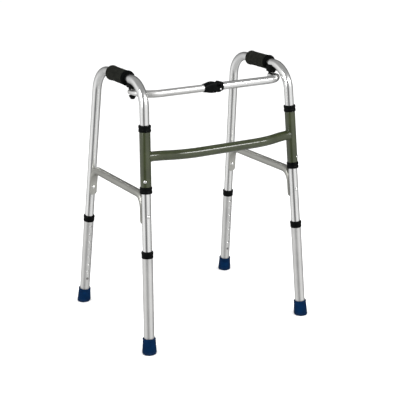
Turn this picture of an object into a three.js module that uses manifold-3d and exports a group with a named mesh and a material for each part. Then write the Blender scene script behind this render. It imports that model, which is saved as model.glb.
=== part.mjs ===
// Folding walking frame: two inverted-U side frames, an H-shaped front, a two-piece top bar and
// four telescopic legs. Millimetres, +Z up. The front faces -Y, and left pieces are at -X.
import * as THREE from "three";
import { mergeVertices } from "three/addons/utils/BufferGeometryUtils.js";
import Module from "manifold-3d";

const wasm = await Module();
wasm.setup();

// ---- common to all pieces ----------------------------------------------------------------------
const FIT = 0.3; // clearance between pieces that seat on each other
const ROUND = 16; // sides of every round tube
const RAD = Math.PI / 180;

// ---- side frames -------------------------------------------------------------------------------
const TOP_HEIGHT = 739.3; // top tube axis above the floor, measured along the side frame
const HALF_WIDTH = 256; // leg axis to middle plane, at the floor
const SPLAY_DEG = 2.21; // each side frame leans in towards the top
const FRONT_FOOT_Y = -216; // front leg axis at the floor
const REAR_FOOT_Y = 216; // rear leg axis at the floor
const FRONT_LEAN_DEG = 4.23; // front leg leans back
const REAR_LEAN_DEG = 7.91; // rear leg leans forward
const TUBE_R = 12.7; // 25.4 mm main tube
const TUBE_WALL = 1.6;
const FRONT_BEND_R = 71; // axis radius of the front shoulder
const REAR_BEND_R = 74; // axis radius of the rear shoulder
const TUBE_FOOT = 24; // lower cut end of the main tube, inside the leg extension
const SHOULDER_Y = FRONT_FOOT_Y + TOP_HEIGHT * Math.tan(FRONT_LEAN_DEG * RAD);

// ---- front H-frame -----------------------------------------------------------------------------
const SLEEVE_PLAY = 0.6; // radial, so the side frame turns in the sleeve
const SLEEVE_BORE_R = TUBE_R + SLEEVE_PLAY;
const SLEEVE_WALL = 1.6;
const SLEEVE_R = SLEEVE_BORE_R + SLEEVE_WALL;
const SLEEVE_LENGTH = 147.2;
const SLEEVE_TOP = TOP_HEIGHT - 123.7;
const SLEEVE_BOTTOM = SLEEVE_TOP - SLEEVE_LENGTH;
const STOP_COLLAR_R = TUBE_R + 4.2;
const STOP_COLLAR_HEIGHT = 17.5;
const STOP_COLLAR_GAP = 0.4;
const CROSSBAR_R = 13.4;
const CROSSBAR_WALL = 1.6;
const CROSSBAR_HEIGHT = SLEEVE_BOTTOM + SLEEVE_LENGTH / 2 + 4;
const CROSSBAR_BOW = 29; // the middle stands this far forward of the sleeves
const CROSSBAR_STRAIGHT = 26; // from the leg axis to the first bend
const CROSSBAR_RAMP = 108; // from the leg axis to the second bend
const SLEEVE_RIVET_UP = SLEEVE_BOTTOM + 15.6;
const SLEEVE_RIVET_R = 2.3;
const SLEEVE_RIVET_TURN_DEG = 35;

// ---- side braces -------------------------------------------------------------------------------
const BRACE_R = 11.2;
const BRACE_WALL = 1.5;
const BRACE_UP = SLEEVE_BOTTOM - STOP_COLLAR_HEIGHT - 10.9; // brace axis above the floor
const BRACE_BEND_R = 32;
const TAB_BOTTOM = BRACE_UP - 76; // lower end of each flattened tab
const TAB_FLAT = 34; // length of the pressed flat
const TAB_HALF_WIDTH = 11.8;
const TAB_HALF_THICK = 2.2;
const RIVET_UP = TAB_BOTTOM + 24;
const RIVET_R = 3.0;
const RIVET_HEAD_R = RIVET_R + 2.2;

// ---- hand grips --------------------------------------------------------------------------------
const GRIP_FRONT_Y = SHOULDER_Y + 88.3;
const GRIP_LENGTH = 98;
const GRIP_R = TUBE_R + 7.5;
const GRIP_RIM = 6;

// ---- telescopic leg extensions -----------------------------------------------------------------
const EXT_PLAY = 0.55; // radial, so the extension slides on the main tube
const EXT_BORE_R = TUBE_R + EXT_PLAY;
const EXT_WALL = 1.15;
const EXT_R = EXT_BORE_R + EXT_WALL; // outer tube of the leg
const EXT_BOTTOM = 9; // lower cut end, inside the ferrule
const EXT_TOP = TAB_BOTTOM - 78; // upper cut end, inside the collar
const COLLAR_R = EXT_R + 2.2;
const COLLAR_HEIGHT = 18.5;
const COLLAR_LIP = 5;
const BUTTON_UP = 82; // snap button above the floor, along the leg
const BUTTON_R = 3.0;
const BUTTON_PROUD = 2.6; // tip of the button outside the extension tube
const HOLE_R = BUTTON_R + 0.7;
const HOLE_PITCH = 25;
const HOLE_ROOM = EXT_TOP + COLLAR_LIP - COLLAR_HEIGHT - HOLE_R - BUTTON_UP;
const HOLE_COUNT = Math.floor(HOLE_ROOM / HOLE_PITCH) + 1;

// ---- rubber ferrules ---------------------------------------------------------------------------
const FOOT_HEIGHT = 44;
const FOOT_TOP_R = EXT_R + 3.6;
const FOOT_BASE_R = FOOT_TOP_R + 2.2;

// ---- folding top bar ---------------------------------------------------------------------------
const LEFT_BAR_R = 10.0;
const RIGHT_BAR_R = 11.0;
const BAR_WALL = 1.4;
const BAR_BEND_R = 55;
const BAR_EYE_HALF_WIDTH = 12;
const BAR_EYE_HALF_HEIGHT = 7;
const BAR_EYE_OVERHANG = 14;
const BAR_HEIGHT = TOP_HEIGHT - TUBE_R - BAR_EYE_HALF_HEIGHT - 14.6;
const BAR_Y = SHOULDER_Y + TUBE_R + RIGHT_BAR_R - 9.4; // straight run, just behind the shoulder
const PIVOT_Y = BAR_Y + 57;
const PIVOT_INSET = 4; // bolt axis inboard of the side frame's own plane
const PIVOT_BOLT_R = 4;
const PIVOT_BOLT_TOP = 17;
const PIVOT_BOLT_BOTTOM = -BAR_EYE_HALF_HEIGHT - 5.5;
const PIVOT_CAP_BOTTOM = PIVOT_BOLT_BOTTOM - 6.5;
const PIVOT_GAP = 1.3; // play above and below the bar's eye

// ---- centre catch of the top bar ---------------------------------------------------------------
const WEDGE_LEFT_X = -40;
const WEDGE_RIGHT_X = -2; // at the front; the end slants away to the rear
const WEDGE_HALF_HEIGHT = LEFT_BAR_R + 2;
const WEDGE_HALF_DEPTH = LEFT_BAR_R + 3;
const KNUCKLE_LEFT_X = WEDGE_RIGHT_X + 1;
const KNUCKLE_HALF_HEIGHT = RIGHT_BAR_R + 4;
const KNUCKLE_END_HALF_HEIGHT = RIGHT_BAR_R + 2;
const KNUCKLE_HALF_DEPTH = RIGHT_BAR_R + 2;
const PARTING_SLOPE = 0.28; // each end slants by this much, so a half bar can swing back
const SOCKET_RIGHT_X = 20;
const KNUCKLE_SOCKET_DEPTH = 8;
const BAR_SOCKET_DEPTH = 15;
const TONGUE_LOW = 2.5;
const TONGUE_HIGH = 9.5;
const TONGUE_R = 8.5;
const TONGUE_TIP_X = 3.5;
const SLOT_END_X = 9.5;
const SLOT_GAP = 0.5;
const RELEASE_R = 2.8;
const RELEASE_X = 7.4;
const RELEASE_DROP = -4.6; // button axis below the bar axis
const SPRING_TURNS = 3;
const SPRING_R = 2.1;
const SPRING_LENGTH = 8.8;

// ---- finishes ----------------------------------------------------------------------------------
const finish = (hex, roughness, metalness) =>
  new THREE.MeshStandardMaterial({ color: hex, roughness, metalness });
const POLISHED = finish(0xc9cac8, 0.28, 1.0);
const SATIN = finish(0xb9bbba, 0.38, 1.0);
const OLIVE = finish(0x5b5f4a, 0.34, 0.35);
const NYLON = finish(0x15181a, 0.55, 0.0);
const GRIP_FOAM = finish(0x24262a, 0.82, 0.0);
const BLUE_RUBBER = finish(0x0b2f5a, 0.62, 0.0);
const BRIGHT = finish(0xd8d9d8, 0.22, 1.0);
const SPRING_STEEL = finish(0x8f9294, 0.35, 1.0);

// ---- shape helpers -----------------------------------------------------------------------------
const vec = (x, y, z) => new THREE.Vector3(x, y, z);
const X = vec(1, 0, 0);
const Y = vec(0, 1, 0);
const Z = vec(0, 0, 1);

// A closed geometry as a solid that can be cut and joined.
function solid(geometry) {
  const bare = geometry.clone();
  bare.deleteAttribute("normal");
  bare.deleteAttribute("uv");
  const closed = mergeVertices(bare, 1e-3);
  const index = closed.index.array;
  const triangles = [];
  for (let i = 0; i < index.length; i += 3) {
    const [a, b, c] = [index[i], index[i + 1], index[i + 2]];
    if (a !== b && b !== c && c !== a) triangles.push(a, b, c);
  }
  const mesh = new wasm.Mesh({
    numProp: 3,
    vertProperties: new Float32Array(closed.attributes.position.array),
    triVerts: new Uint32Array(triangles),
  });
  return new wasm.Manifold(mesh);
}

// A cut or joined solid back as a geometry.
function skin(body) {
  const mesh = body.getMesh();
  const geometry = new THREE.BufferGeometry();
  const points = new THREE.BufferAttribute(new Float32Array(mesh.vertProperties), 3);
  geometry.setAttribute("position", points);
  geometry.setIndex(new THREE.BufferAttribute(new Uint32Array(mesh.triVerts), 1));
  return geometry;
}

// The first geometry less the others.
function subtract(geometry, ...tools) {
  let body = solid(geometry);
  for (const tool of tools) body = body.subtract(solid(tool));
  return skin(body);
}

// The geometries joined into one.
function join(geometry, ...others) {
  let body = solid(geometry);
  for (const other of others) body = body.add(solid(other));
  return skin(body);
}

// Solid of revolution about Z from an anticlockwise (radius, height) outline.
function turned(outline, sides = ROUND) {
  const points = outline.map(([r, z]) => new THREE.Vector2(r, z));
  if (outline[0][0] > 0) points.push(points[0].clone());
  return new THREE.LatheGeometry(points, sides).rotateX(Math.PI / 2);
}

// Plain rod about Z from one height to another.
function rod(r, z0, z1, sides = ROUND) {
  const made = new THREE.CylinderGeometry(r, r, z1 - z0, sides).rotateX(Math.PI / 2);
  return made.translate(0, 0, (z0 + z1) / 2);
}

// Plain ring about Z from one height to another.
function ring(outer, inner, z0, z1, sides = ROUND) {
  return turned([[inner, z0], [outer, z0], [outer, z1], [inner, z1]], sides);
}

// Box between two corners.
function box(low, high) {
  const made = new THREE.BoxGeometry(...high.map((v, k) => v - low[k]));
  return made.translate(...high.map((v, k) => (v + low[k]) / 2));
}

// A flat (x, z) outline carried from y0 to y1.
function plate(outline, y0, y1) {
  const shape = new THREE.Shape(outline.map(([x, z]) => new THREE.Vector2(x, z)));
  const made = new THREE.ExtrudeGeometry(shape, { depth: y1 - y0, bevelEnabled: false });
  return made.rotateX(Math.PI / 2).translate(0, y1, 0);
}

// A shape made about Z, laid along +Y or along +X instead.
const layAlongY = (geometry) => geometry.rotateX(-Math.PI / 2);
const layAlongX = (geometry) => geometry.rotateY(Math.PI / 2);

// Centre line of a tube that lies in one plane. Its straight runs have no inner stations, and its
// section can change from station to station: size(i) gives half widths across and in the plane.
class TubeLine extends THREE.Curve {
  constructor(stations, across, size) {
    super();
    this.stations = stations;
    this.across = across;
    this.size = size;
  }

  getPoint(t) {
    return this.stations[Math.round(t * (this.stations.length - 1))].clone();
  }

  getPointAt(t) {
    return this.getPoint(t);
  }

  computeFrenetFrames() {
    const last = this.stations.length - 1;
    const frames = { tangents: [], normals: [], binormals: [] };
    this.stations.forEach((_, i) => {
      const ahead = this.stations[Math.min(i + 1, last)];
      const behind = this.stations[Math.max(i - 1, 0)];
      const way = ahead.clone().sub(behind).normalize();
      const [wide, deep] = this.size(i, last);
      frames.tangents.push(way);
      frames.normals.push(this.across.clone().multiplyScalar(wide));
      frames.binormals.push(way.clone().cross(this.across).normalize().multiplyScalar(deep));
    });
    return frames;
  }
}

// Round off the inner corners of a centre line, each with its own bend radius.
function bent(corners, radii, steps) {
  const line = [corners[0].clone()];
  for (let i = 1; i < corners.length - 1; i += 1) {
    const back = corners[i - 1].clone().sub(corners[i]).normalize();
    const on = corners[i + 1].clone().sub(corners[i]).normalize();
    const turn = Math.PI - back.angleTo(on);
    const r = radii[i - 1];
    const start = corners[i].clone().addScaledVector(back, r * Math.tan(turn / 2));
    const middle = back.clone().add(on).normalize();
    const centre = corners[i].clone().addScaledVector(middle, r / Math.cos(turn / 2));
    const axis = on.clone().cross(back).normalize();
    for (let k = 0; k <= steps; k += 1) {
      const spoke = start.clone().sub(centre).applyAxisAngle(axis, (turn * k) / steps);
      line.push(centre.clone().add(spoke));
    }
  }
  line.push(corners[corners.length - 1].clone());
  return line;
}

// Solid rod along a centre line.
function sweep(stations, across, size) {
  const corners = [];
  for (let k = 0; k < ROUND; k += 1) {
    const a = (2 * Math.PI * k) / ROUND;
    corners.push(new THREE.Vector2(Math.cos(a), Math.sin(a)));
  }
  return new THREE.ExtrudeGeometry(new THREE.Shape(corners), {
    steps: stations.length - 1,
    extrudePath: new TubeLine(stations, across, size),
  });
}

// Open-ended tube along a centre line.
function pipe(stations, across, size, wall) {
  const outer = sweep(stations, across, size);
  const longer = stations.map((p) => p.clone());
  const last = longer.length - 1;
  longer[0].lerp(longer[1], -2 / longer[0].distanceTo(longer[1]));
  longer[last].lerp(longer[last - 1], -2 / longer[last].distanceTo(longer[last - 1]));
  const inside = (i, n) => size(i, n).map((half) => half - wall);
  return subtract(outer, sweep(longer, across, inside));
}

const round = (r) => () => [r, r];

// A smooth change from one size to another over part of a centre line.
function eased(from, to, t) {
  const s = Math.min(Math.max(t, 0), 1);
  return from + (to - from) * s * s * (3 - 2 * s);
}

// ---- scene tree --------------------------------------------------------------------------------
// frame > side frame > leg. In a side frame, x = 0 is the frame's own plane. In a leg, z runs up
// the leg from the floor and +Y points to the side frame's other leg. In a pivot, z is the bolt.

const frame = new THREE.Group();

function group(parent, position, rotation) {
  const made = new THREE.Group();
  made.position.set(...position);
  made.rotation.set(...rotation);
  parent.add(made);
  made.updateWorldMatrix(true, false);
  return made;
}

function piece(parent, name, geometry, material) {
  const surface = geometry.index ? geometry.toNonIndexed() : geometry;
  surface.computeVertexNormals();
  const mesh = new THREE.Mesh(surface, material);
  mesh.name = name;
  parent.add(mesh);
  return mesh;
}

// A shape made in one group's own axes, given in another's.
function carried(geometry, from, to) {
  const move = to.matrixWorld.clone().invert().multiply(from.matrixWorld);
  return geometry.applyMatrix4(move);
}

const splay = SPLAY_DEG * RAD;
const LEGS = {
  front: { footY: FRONT_FOOT_Y, lean: FRONT_LEAN_DEG * RAD, toward: 1 },
  rear: { footY: REAR_FOOT_Y, lean: REAR_LEAN_DEG * RAD, toward: -1 },
};
const SIDES = { left: -1, right: 1 };
const groups = {};
for (const [hand, side] of Object.entries(SIDES)) {
  const home = group(frame, [side * HALF_WIDTH, 0, 0], [0, -side * splay, 0]);
  const legs = {};
  for (const [end, leg] of Object.entries(LEGS)) {
    const stand = group(home, [0, leg.footY, 0], [0, 0, leg.toward > 0 ? 0 : Math.PI]);
    legs[end] = group(stand, [0, 0, 0], [-leg.lean, 0, 0]);
  }
  const pivotAt = [-side * PIVOT_INSET, PIVOT_Y, BAR_HEIGHT / Math.cos(splay)];
  const pivot = group(home, pivotAt, [-LEGS.front.lean, 0, 0]);
  groups[hand] = { home, legs, pivot };
}

// Point on a leg in the side frame's plane: a distance up it, then towards the other leg.
function onLeg(leg, up, inward = 0) {
  const y = up * Math.sin(leg.lean) + inward * Math.cos(leg.lean);
  const z = up * Math.cos(leg.lean) - inward * Math.sin(leg.lean);
  return vec(0, leg.footY + leg.toward * y, z);
}

// ---- pieces of a side frame, in the side frame's axes ------------------------------------------

// Centre line of the inverted U, from the rear leg's cut end over the top to the front leg's.
function sideLine() {
  const top = (leg) => onLeg(leg, TOP_HEIGHT / Math.cos(leg.lean));
  const corners = [
    onLeg(LEGS.rear, TUBE_FOOT),
    top(LEGS.rear),
    top(LEGS.front),
    onLeg(LEGS.front, TUBE_FOOT),
  ];
  return bent(corners, [REAR_BEND_R, FRONT_BEND_R], 6);
}

// The inverted-U tube, drilled for its two snap buttons and the brace rivets.
function sideTube({ home, legs }) {
  const plain = pipe(sideLine(), X, round(TUBE_R), TUBE_WALL);
  const drills = Object.values(legs).flatMap((leg) => [
    carried(layAlongY(rod(BUTTON_R + FIT, 5, 20, 12)).translate(0, 0, BUTTON_UP), leg, home),
    carried(layAlongY(rod(RIVET_R + FIT, -20, 20, 12)).translate(0, 0, RIVET_UP), leg, home),
  ]);
  return subtract(plain, ...drills);
}

// Foam hand grip with a thicker rim at each end.
function handGrip() {
  const rim = GRIP_RIM;
  const l = GRIP_LENGTH;
  const outline = [
    [TUBE_R + FIT, 0],
    [GRIP_R - 1.5, 0],
    [GRIP_R + 0.3, 1.8],
    [GRIP_R + 0.3, rim],
    [GRIP_R - 0.4, rim + 4],
    [GRIP_R - 0.4, l - rim - 4],
    [GRIP_R + 0.3, l - rim],
    [GRIP_R + 0.3, l - 1.8],
    [GRIP_R - 1.5, l],
    [TUBE_R + FIT, l],
  ];
  return layAlongY(turned(outline)).translate(0, GRIP_FRONT_Y, TOP_HEIGHT);
}

// Side brace: a level tube whose two ends turn down and are pressed flat against the legs.
const TAB_OFF = TUBE_R + TAB_HALF_THICK + FIT;
function sideBrace({ home, legs }) {
  const { rear, front } = LEGS;
  const corner = (leg) => onLeg(leg, BRACE_UP / Math.cos(leg.lean), TAB_OFF);
  const flatTop = (leg) => onLeg(leg, TAB_BOTTOM + TAB_FLAT, TAB_OFF);
  const corners = [flatTop(rear), corner(rear), corner(front), flatTop(front)];
  const bends = bent(corners, [BRACE_BEND_R, BRACE_BEND_R], 5);
  const line = [onLeg(rear, TAB_BOTTOM, TAB_OFF), ...bends, onLeg(front, TAB_BOTTOM, TAB_OFF)];
  const size = (i, last) => {
    const t = (Math.min(i, last - i) - 2) / 4.4;
    return [eased(TAB_HALF_WIDTH, BRACE_R, t), eased(TAB_HALF_THICK, BRACE_R, t)];
  };
  const plain = pipe(line, X, size, BRACE_WALL);
  const drills = Object.values(legs).map((leg) =>
    carried(layAlongY(rod(RIVET_R + FIT, 10, 26, 12)).translate(0, 0, RIVET_UP), leg, home));
  return subtract(plain, ...drills);
}

// ---- pieces on a leg, in the leg's axes --------------------------------------------------------

// Rivet right through a leg and the brace's tab, with a dome at both ends.
function braceRivet() {
  const near = TUBE_R + FIT;
  const far = TAB_OFF + TAB_HALF_THICK + FIT;
  const outline = [
    [0, -near - 2.6],
    [2.4, -near - 2.3],
    [4.3, -near - 1.3],
    [RIVET_HEAD_R, -near],
    [RIVET_R, -near],
    [RIVET_R, far],
    [RIVET_HEAD_R, far],
    [4.3, far + 1.5],
    [2.4, far + 2.5],
    [0, far + 2.8],
  ];
  return layAlongY(turned(outline, 10)).translate(0, 0, RIVET_UP);
}

// Leg extension: the outer tube of the leg with its row of height holes.
function extensionTube() {
  const plain = ring(EXT_R, EXT_BORE_R, EXT_BOTTOM, EXT_TOP);
  const drills = [];
  for (let k = 0; k < HOLE_COUNT; k += 1) {
    const drill = layAlongY(rod(HOLE_R, 5, 22, 10));
    drills.push(drill.translate(0, 0, BUTTON_UP + k * HOLE_PITCH));
  }
  return subtract(plain, ...drills);
}

// Nylon collar pressed over the mouth of an extension, with a lip that guides the main tube.
function extensionCollar() {
  const top = EXT_TOP + COLLAR_LIP;
  const bottom = top - COLLAR_HEIGHT;
  const outline = [
    [EXT_R + FIT, bottom],
    [COLLAR_R, bottom],
    [COLLAR_R, top - 2],
    [COLLAR_R - 2, top],
    [EXT_BORE_R, top],
    [EXT_BORE_R, EXT_TOP + FIT],
    [EXT_R + FIT, EXT_TOP + FIT],
  ];
  return turned(outline);
}

// Rubber ferrule. Its sole is level with the floor although the leg leans.
function foot(leg) {
  const outline = [
    [0, -8],
    [FOOT_BASE_R, -8],
    [FOOT_BASE_R, 6],
    [FOOT_BASE_R - 1.2, 11],
    [FOOT_TOP_R + 0.6, 17],
    [FOOT_TOP_R, FOOT_HEIGHT - 2],
    [FOOT_TOP_R - 1.5, FOOT_HEIGHT],
    [EXT_R + FIT, FOOT_HEIGHT],
    [EXT_R + FIT, EXT_BOTTOM - FIT],
    [0, EXT_BOTTOM - FIT],
  ];
  const reach = 2 * HALF_WIDTH;
  const under = box([-reach, -reach, -60], [reach, reach, 0]);
  return subtract(turned(outline), carried(under, frame, leg));
}

// Domed snap button that stands out through a height hole.
function snapButton() {
  const tip = EXT_R + BUTTON_PROUD;
  const flange = TUBE_R - TUBE_WALL - 1.9;
  const outline = [
    [0, flange - 1.4],
    [BUTTON_R + 1.6, flange - 1.4],
    [BUTTON_R + 1.6, flange],
    [BUTTON_R, flange],
    [BUTTON_R, tip - 1.6],
    [BUTTON_R - 0.9, tip - 0.5],
    [0, tip],
  ];
  return layAlongY(turned(outline, 12)).translate(0, 0, BUTTON_UP);
}

// V-shaped leaf spring behind a snap button, in the bore of the main tube.
function snapSpring() {
  const near = TUBE_R - TUBE_WALL - 3.7;
  const far = TUBE_R - TUBE_WALL - 0.9;
  const outline = [
    [-far, -5],
    [-far + 0.9, -5],
    [-0.5, 33],
    [near - 1, -5],
    [near, -5],
    [0.6, 37],
    [-1.5, 37],
  ];
  return plate(outline, -3.4, 3.4).rotateZ(Math.PI / 2).translate(0, 0, BUTTON_UP);
}

// Stop collar fixed on the front leg, above or below the sleeve.
function stopCollar(bottom) {
  const top = bottom + STOP_COLLAR_HEIGHT;
  const outline = [
    [TUBE_R + FIT, bottom],
    [STOP_COLLAR_R - 1, bottom],
    [STOP_COLLAR_R, bottom + 1],
    [STOP_COLLAR_R, top - 1],
    [STOP_COLLAR_R - 1, top],
    [TUBE_R + FIT, top],
  ];
  return turned(outline);
}

// Place a shape made about Z so that it stands out of the sleeve, turned outward from the front.
function outOfSleeve(geometry, side) {
  const turn = side * SLEEVE_RIVET_TURN_DEG * RAD;
  return layAlongY(geometry).rotateZ(Math.PI + turn).translate(0, 0, SLEEVE_RIVET_UP);
}

// Sleeve that turns on the front leg between its two stop collars.
function sleeve(side) {
  const plain = ring(SLEEVE_R, SLEEVE_BORE_R, SLEEVE_BOTTOM, SLEEVE_TOP);
  const drill = rod(SLEEVE_RIVET_R + 0.2, SLEEVE_BORE_R - 3, SLEEVE_R + 4, 10);
  return subtract(plain, outOfSleeve(drill, side));
}

// Bright domed rivet near the foot of the sleeve.
function sleeveRivet(side) {
  const base = SLEEVE_R + 0.15;
  const outline = [
    [0, SLEEVE_BORE_R + 0.1],
    [SLEEVE_RIVET_R, SLEEVE_BORE_R + 0.1],
    [SLEEVE_RIVET_R, base],
    [SLEEVE_RIVET_R + 2.1, base],
    [SLEEVE_RIVET_R + 1.1, base + 1.4],
    [SLEEVE_RIVET_R - 0.5, base + 2.2],
    [0, base + 2.4],
  ];
  return outOfSleeve(turned(outline, 10), side);
}

// ---- pieces at a top bar pivot, in the pivot's axes --------------------------------------------

// Nylon bracket block saddled under the top tube, in front of the grip.
function barBracket({ home, pivot }) {
  const low = BAR_EYE_HALF_HEIGHT + 5;
  const high = TOP_HEIGHT - BAR_HEIGHT - 3;
  const block = box([-12.5, -11.5, low], [12.5, 11.5, high]);
  const boss = rod(10.5, BAR_EYE_HALF_HEIGHT + PIVOT_GAP, low + 1);
  const saddle = carried(sweep(sideLine(), X, round(TUBE_R + FIT)), home, pivot);
  const bore = rod(PIVOT_BOLT_R + FIT, 0, PIVOT_BOLT_TOP + 0.5, 16);
  return subtract(join(block, boss), saddle, bore);
}

// Bolt through the top bar's eye, up into the bracket.
const pivotBolt = () => rod(PIVOT_BOLT_R, PIVOT_BOLT_BOTTOM, PIVOT_BOLT_TOP, 16);

// Tapered nylon cap nut under the bolt.
function pivotCap() {
  const top = -BAR_EYE_HALF_HEIGHT - PIVOT_GAP;
  const outline = [
    [0, PIVOT_CAP_BOTTOM],
    [4.5, PIVOT_CAP_BOTTOM],
    [6, PIVOT_CAP_BOTTOM + 1.5],
    [10, top - 2],
    [10, top],
    [PIVOT_BOLT_R + FIT, top],
    [PIVOT_BOLT_R + FIT, PIVOT_BOLT_BOTTOM - 0.4],
    [0, PIVOT_BOLT_BOTTOM - 0.4],
  ];
  return turned(outline, 16);
}

// ---- front crossbar and top bar, in the frame's axes -------------------------------------------

const pointIn = (x, y, z, home) => vec(x, y, z).applyMatrix4(home.matrixWorld);

// Bowed crossbar, coped at both ends to sit on the sleeves.
function crossbar() {
  const seat = ({ legs }) => {
    const up = CROSSBAR_HEIGHT / Math.cos(splay) / Math.cos(LEGS.front.lean);
    return pointIn(0, 0, up, legs.front);
  };
  const [left, right] = [seat(groups.left), seat(groups.right)];
  const ahead = (p, x, bow) => vec(x, p.y - bow, p.z);
  const corners = [
    left,
    ahead(left, left.x + CROSSBAR_STRAIGHT, 0),
    ahead(left, left.x + CROSSBAR_RAMP, CROSSBAR_BOW),
    ahead(right, right.x - CROSSBAR_RAMP, CROSSBAR_BOW),
    ahead(right, right.x - CROSSBAR_STRAIGHT, 0),
    right,
  ];
  const plain = pipe(bent(corners, [150, 250, 250, 150], 4), Z, round(CROSSBAR_R), CROSSBAR_WALL);
  const cores = Object.values(groups).map(({ legs }) =>
    carried(rod(SLEEVE_R + FIT, SLEEVE_BOTTOM, SLEEVE_TOP), legs.front, frame));
  return subtract(plain, ...cores);
}

// One half of the top bar, from its flattened eye on the pivot bolt round to the centre catch.
function topBar({ pivot }, r, innerX) {
  const bolt = pointIn(0, 0, 0, pivot);
  const eyeEnd = vec(bolt.x, bolt.y + BAR_EYE_OVERHANG, BAR_HEIGHT);
  const corners = [
    vec(bolt.x, bolt.y, BAR_HEIGHT),
    vec(bolt.x, BAR_Y, BAR_HEIGHT),
    vec(innerX, BAR_Y, BAR_HEIGHT),
  ];
  const size = (i) => {
    const t = (i - 2.5) / 2.5;
    return [eased(BAR_EYE_HALF_HEIGHT, r, t), eased(BAR_EYE_HALF_WIDTH, r, t)];
  };
  const plain = pipe([eyeEnd, ...bent(corners, [BAR_BEND_R], 6)], Z, size, BAR_WALL);
  const drill = carried(rod(PIVOT_BOLT_R + FIT, -30, 30, 16), pivot, frame);
  return subtract(plain, drill);
}

// ---- centre catch, about the middle of the top bar ---------------------------------------------

// Block to cut away beyond a slanted end. side is 1 to clear to the right and -1 to the left.
function beyond(x, halfDepth, side) {
  const at = (y) => x - side * PARTING_SLOPE * (y + halfDepth);
  const outline = [[at(-40), -40], [side * 90, -40], [side * 90, 40], [at(40), 40]];
  return plate(outline, -40, 40).rotateX(-Math.PI / 2);
}

// Left half: a tapered housing with a flat tongue.
function catchWedge() {
  const outline = [
    [WEDGE_LEFT_X, -WEDGE_HALF_HEIGHT],
    [WEDGE_RIGHT_X - 14, -KNUCKLE_HALF_HEIGHT],
    [WEDGE_RIGHT_X, -KNUCKLE_HALF_HEIGHT],
    [WEDGE_RIGHT_X, KNUCKLE_HALF_HEIGHT],
    [WEDGE_RIGHT_X - 14, KNUCKLE_HALF_HEIGHT],
    [WEDGE_LEFT_X, WEDGE_HALF_HEIGHT],
  ];
  const housing = subtract(plate(outline, -WEDGE_HALF_DEPTH, WEDGE_HALF_DEPTH),
    beyond(WEDGE_RIGHT_X, WEDGE_HALF_DEPTH, 1));
  const tip = TONGUE_TIP_X - TONGUE_R;
  const tongue = box([WEDGE_RIGHT_X - 12, -TONGUE_R, TONGUE_LOW], [tip, TONGUE_R, TONGUE_HIGH]);
  const nose = rod(TONGUE_R, TONGUE_LOW, TONGUE_HIGH).translate(tip, 0, 0);
  const socketEnd = WEDGE_LEFT_X + BAR_SOCKET_DEPTH + FIT;
  const socket = layAlongX(rod(LEFT_BAR_R + FIT, WEDGE_LEFT_X - 5, socketEnd));
  return subtract(join(housing, tongue, nose), socket);
}

// Right half: a short knuckle, slotted for the tongue, with a socket for the tube.
function catchKnuckle() {
  const outline = [
    [KNUCKLE_LEFT_X, -KNUCKLE_HALF_HEIGHT],
    [KNUCKLE_LEFT_X + 12, -KNUCKLE_HALF_HEIGHT],
    [SOCKET_RIGHT_X, -KNUCKLE_END_HALF_HEIGHT],
    [SOCKET_RIGHT_X, KNUCKLE_END_HALF_HEIGHT],
    [KNUCKLE_LEFT_X + 12, KNUCKLE_HALF_HEIGHT],
    [KNUCKLE_LEFT_X, KNUCKLE_HALF_HEIGHT],
  ];
  const knuckle = plate(outline, -KNUCKLE_HALF_DEPTH, KNUCKLE_HALF_DEPTH);
  const floor = SOCKET_RIGHT_X - KNUCKLE_SOCKET_DEPTH - FIT;
  const socket = layAlongX(rod(RIGHT_BAR_R + FIT, floor, SOCKET_RIGHT_X + 5));
  const slot = box([-30, -30, TONGUE_LOW - SLOT_GAP], [SLOT_END_X, 30, TONGUE_HIGH + SLOT_GAP]);
  const well = layAlongY(rod(RELEASE_R + FIT, -30, 4, 16)).translate(RELEASE_X, 0, RELEASE_DROP);
  return subtract(knuckle, beyond(KNUCKLE_LEFT_X, KNUCKLE_HALF_DEPTH, -1), socket, slot, well);
}

// Bright release button on the front of the knuckle.
function releaseButton() {
  const outline = [
    [0, -16.2],
    [RELEASE_R - 1.2, -16.2],
    [RELEASE_R, -15.2],
    [RELEASE_R, -6],
    [0, -6],
  ];
  return layAlongY(turned(outline, 16));
}

// Helix of a short coil spring along +Y.
class SpringLine extends THREE.Curve {
  getPoint(t) {
    const a = 2 * Math.PI * SPRING_TURNS * t;
    return vec(SPRING_R * Math.cos(a), SPRING_LENGTH * t, SPRING_R * Math.sin(a));
  }
}

// Short coil spring behind the release button.
function releaseSpring() {
  const wire = new THREE.Shape();
  wire.absarc(0, 0, 0.45, 0, 2 * Math.PI);
  const made = new THREE.ExtrudeGeometry(wire, {
    curveSegments: 3,
    steps: 10 * SPRING_TURNS,
    extrudePath: new SpringLine(),
  });
  return made.translate(0, -5.4, 0);
}

// ---- assembly ----------------------------------------------------------------------------------

piece(frame, "crossbar", crossbar(), OLIVE);

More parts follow.
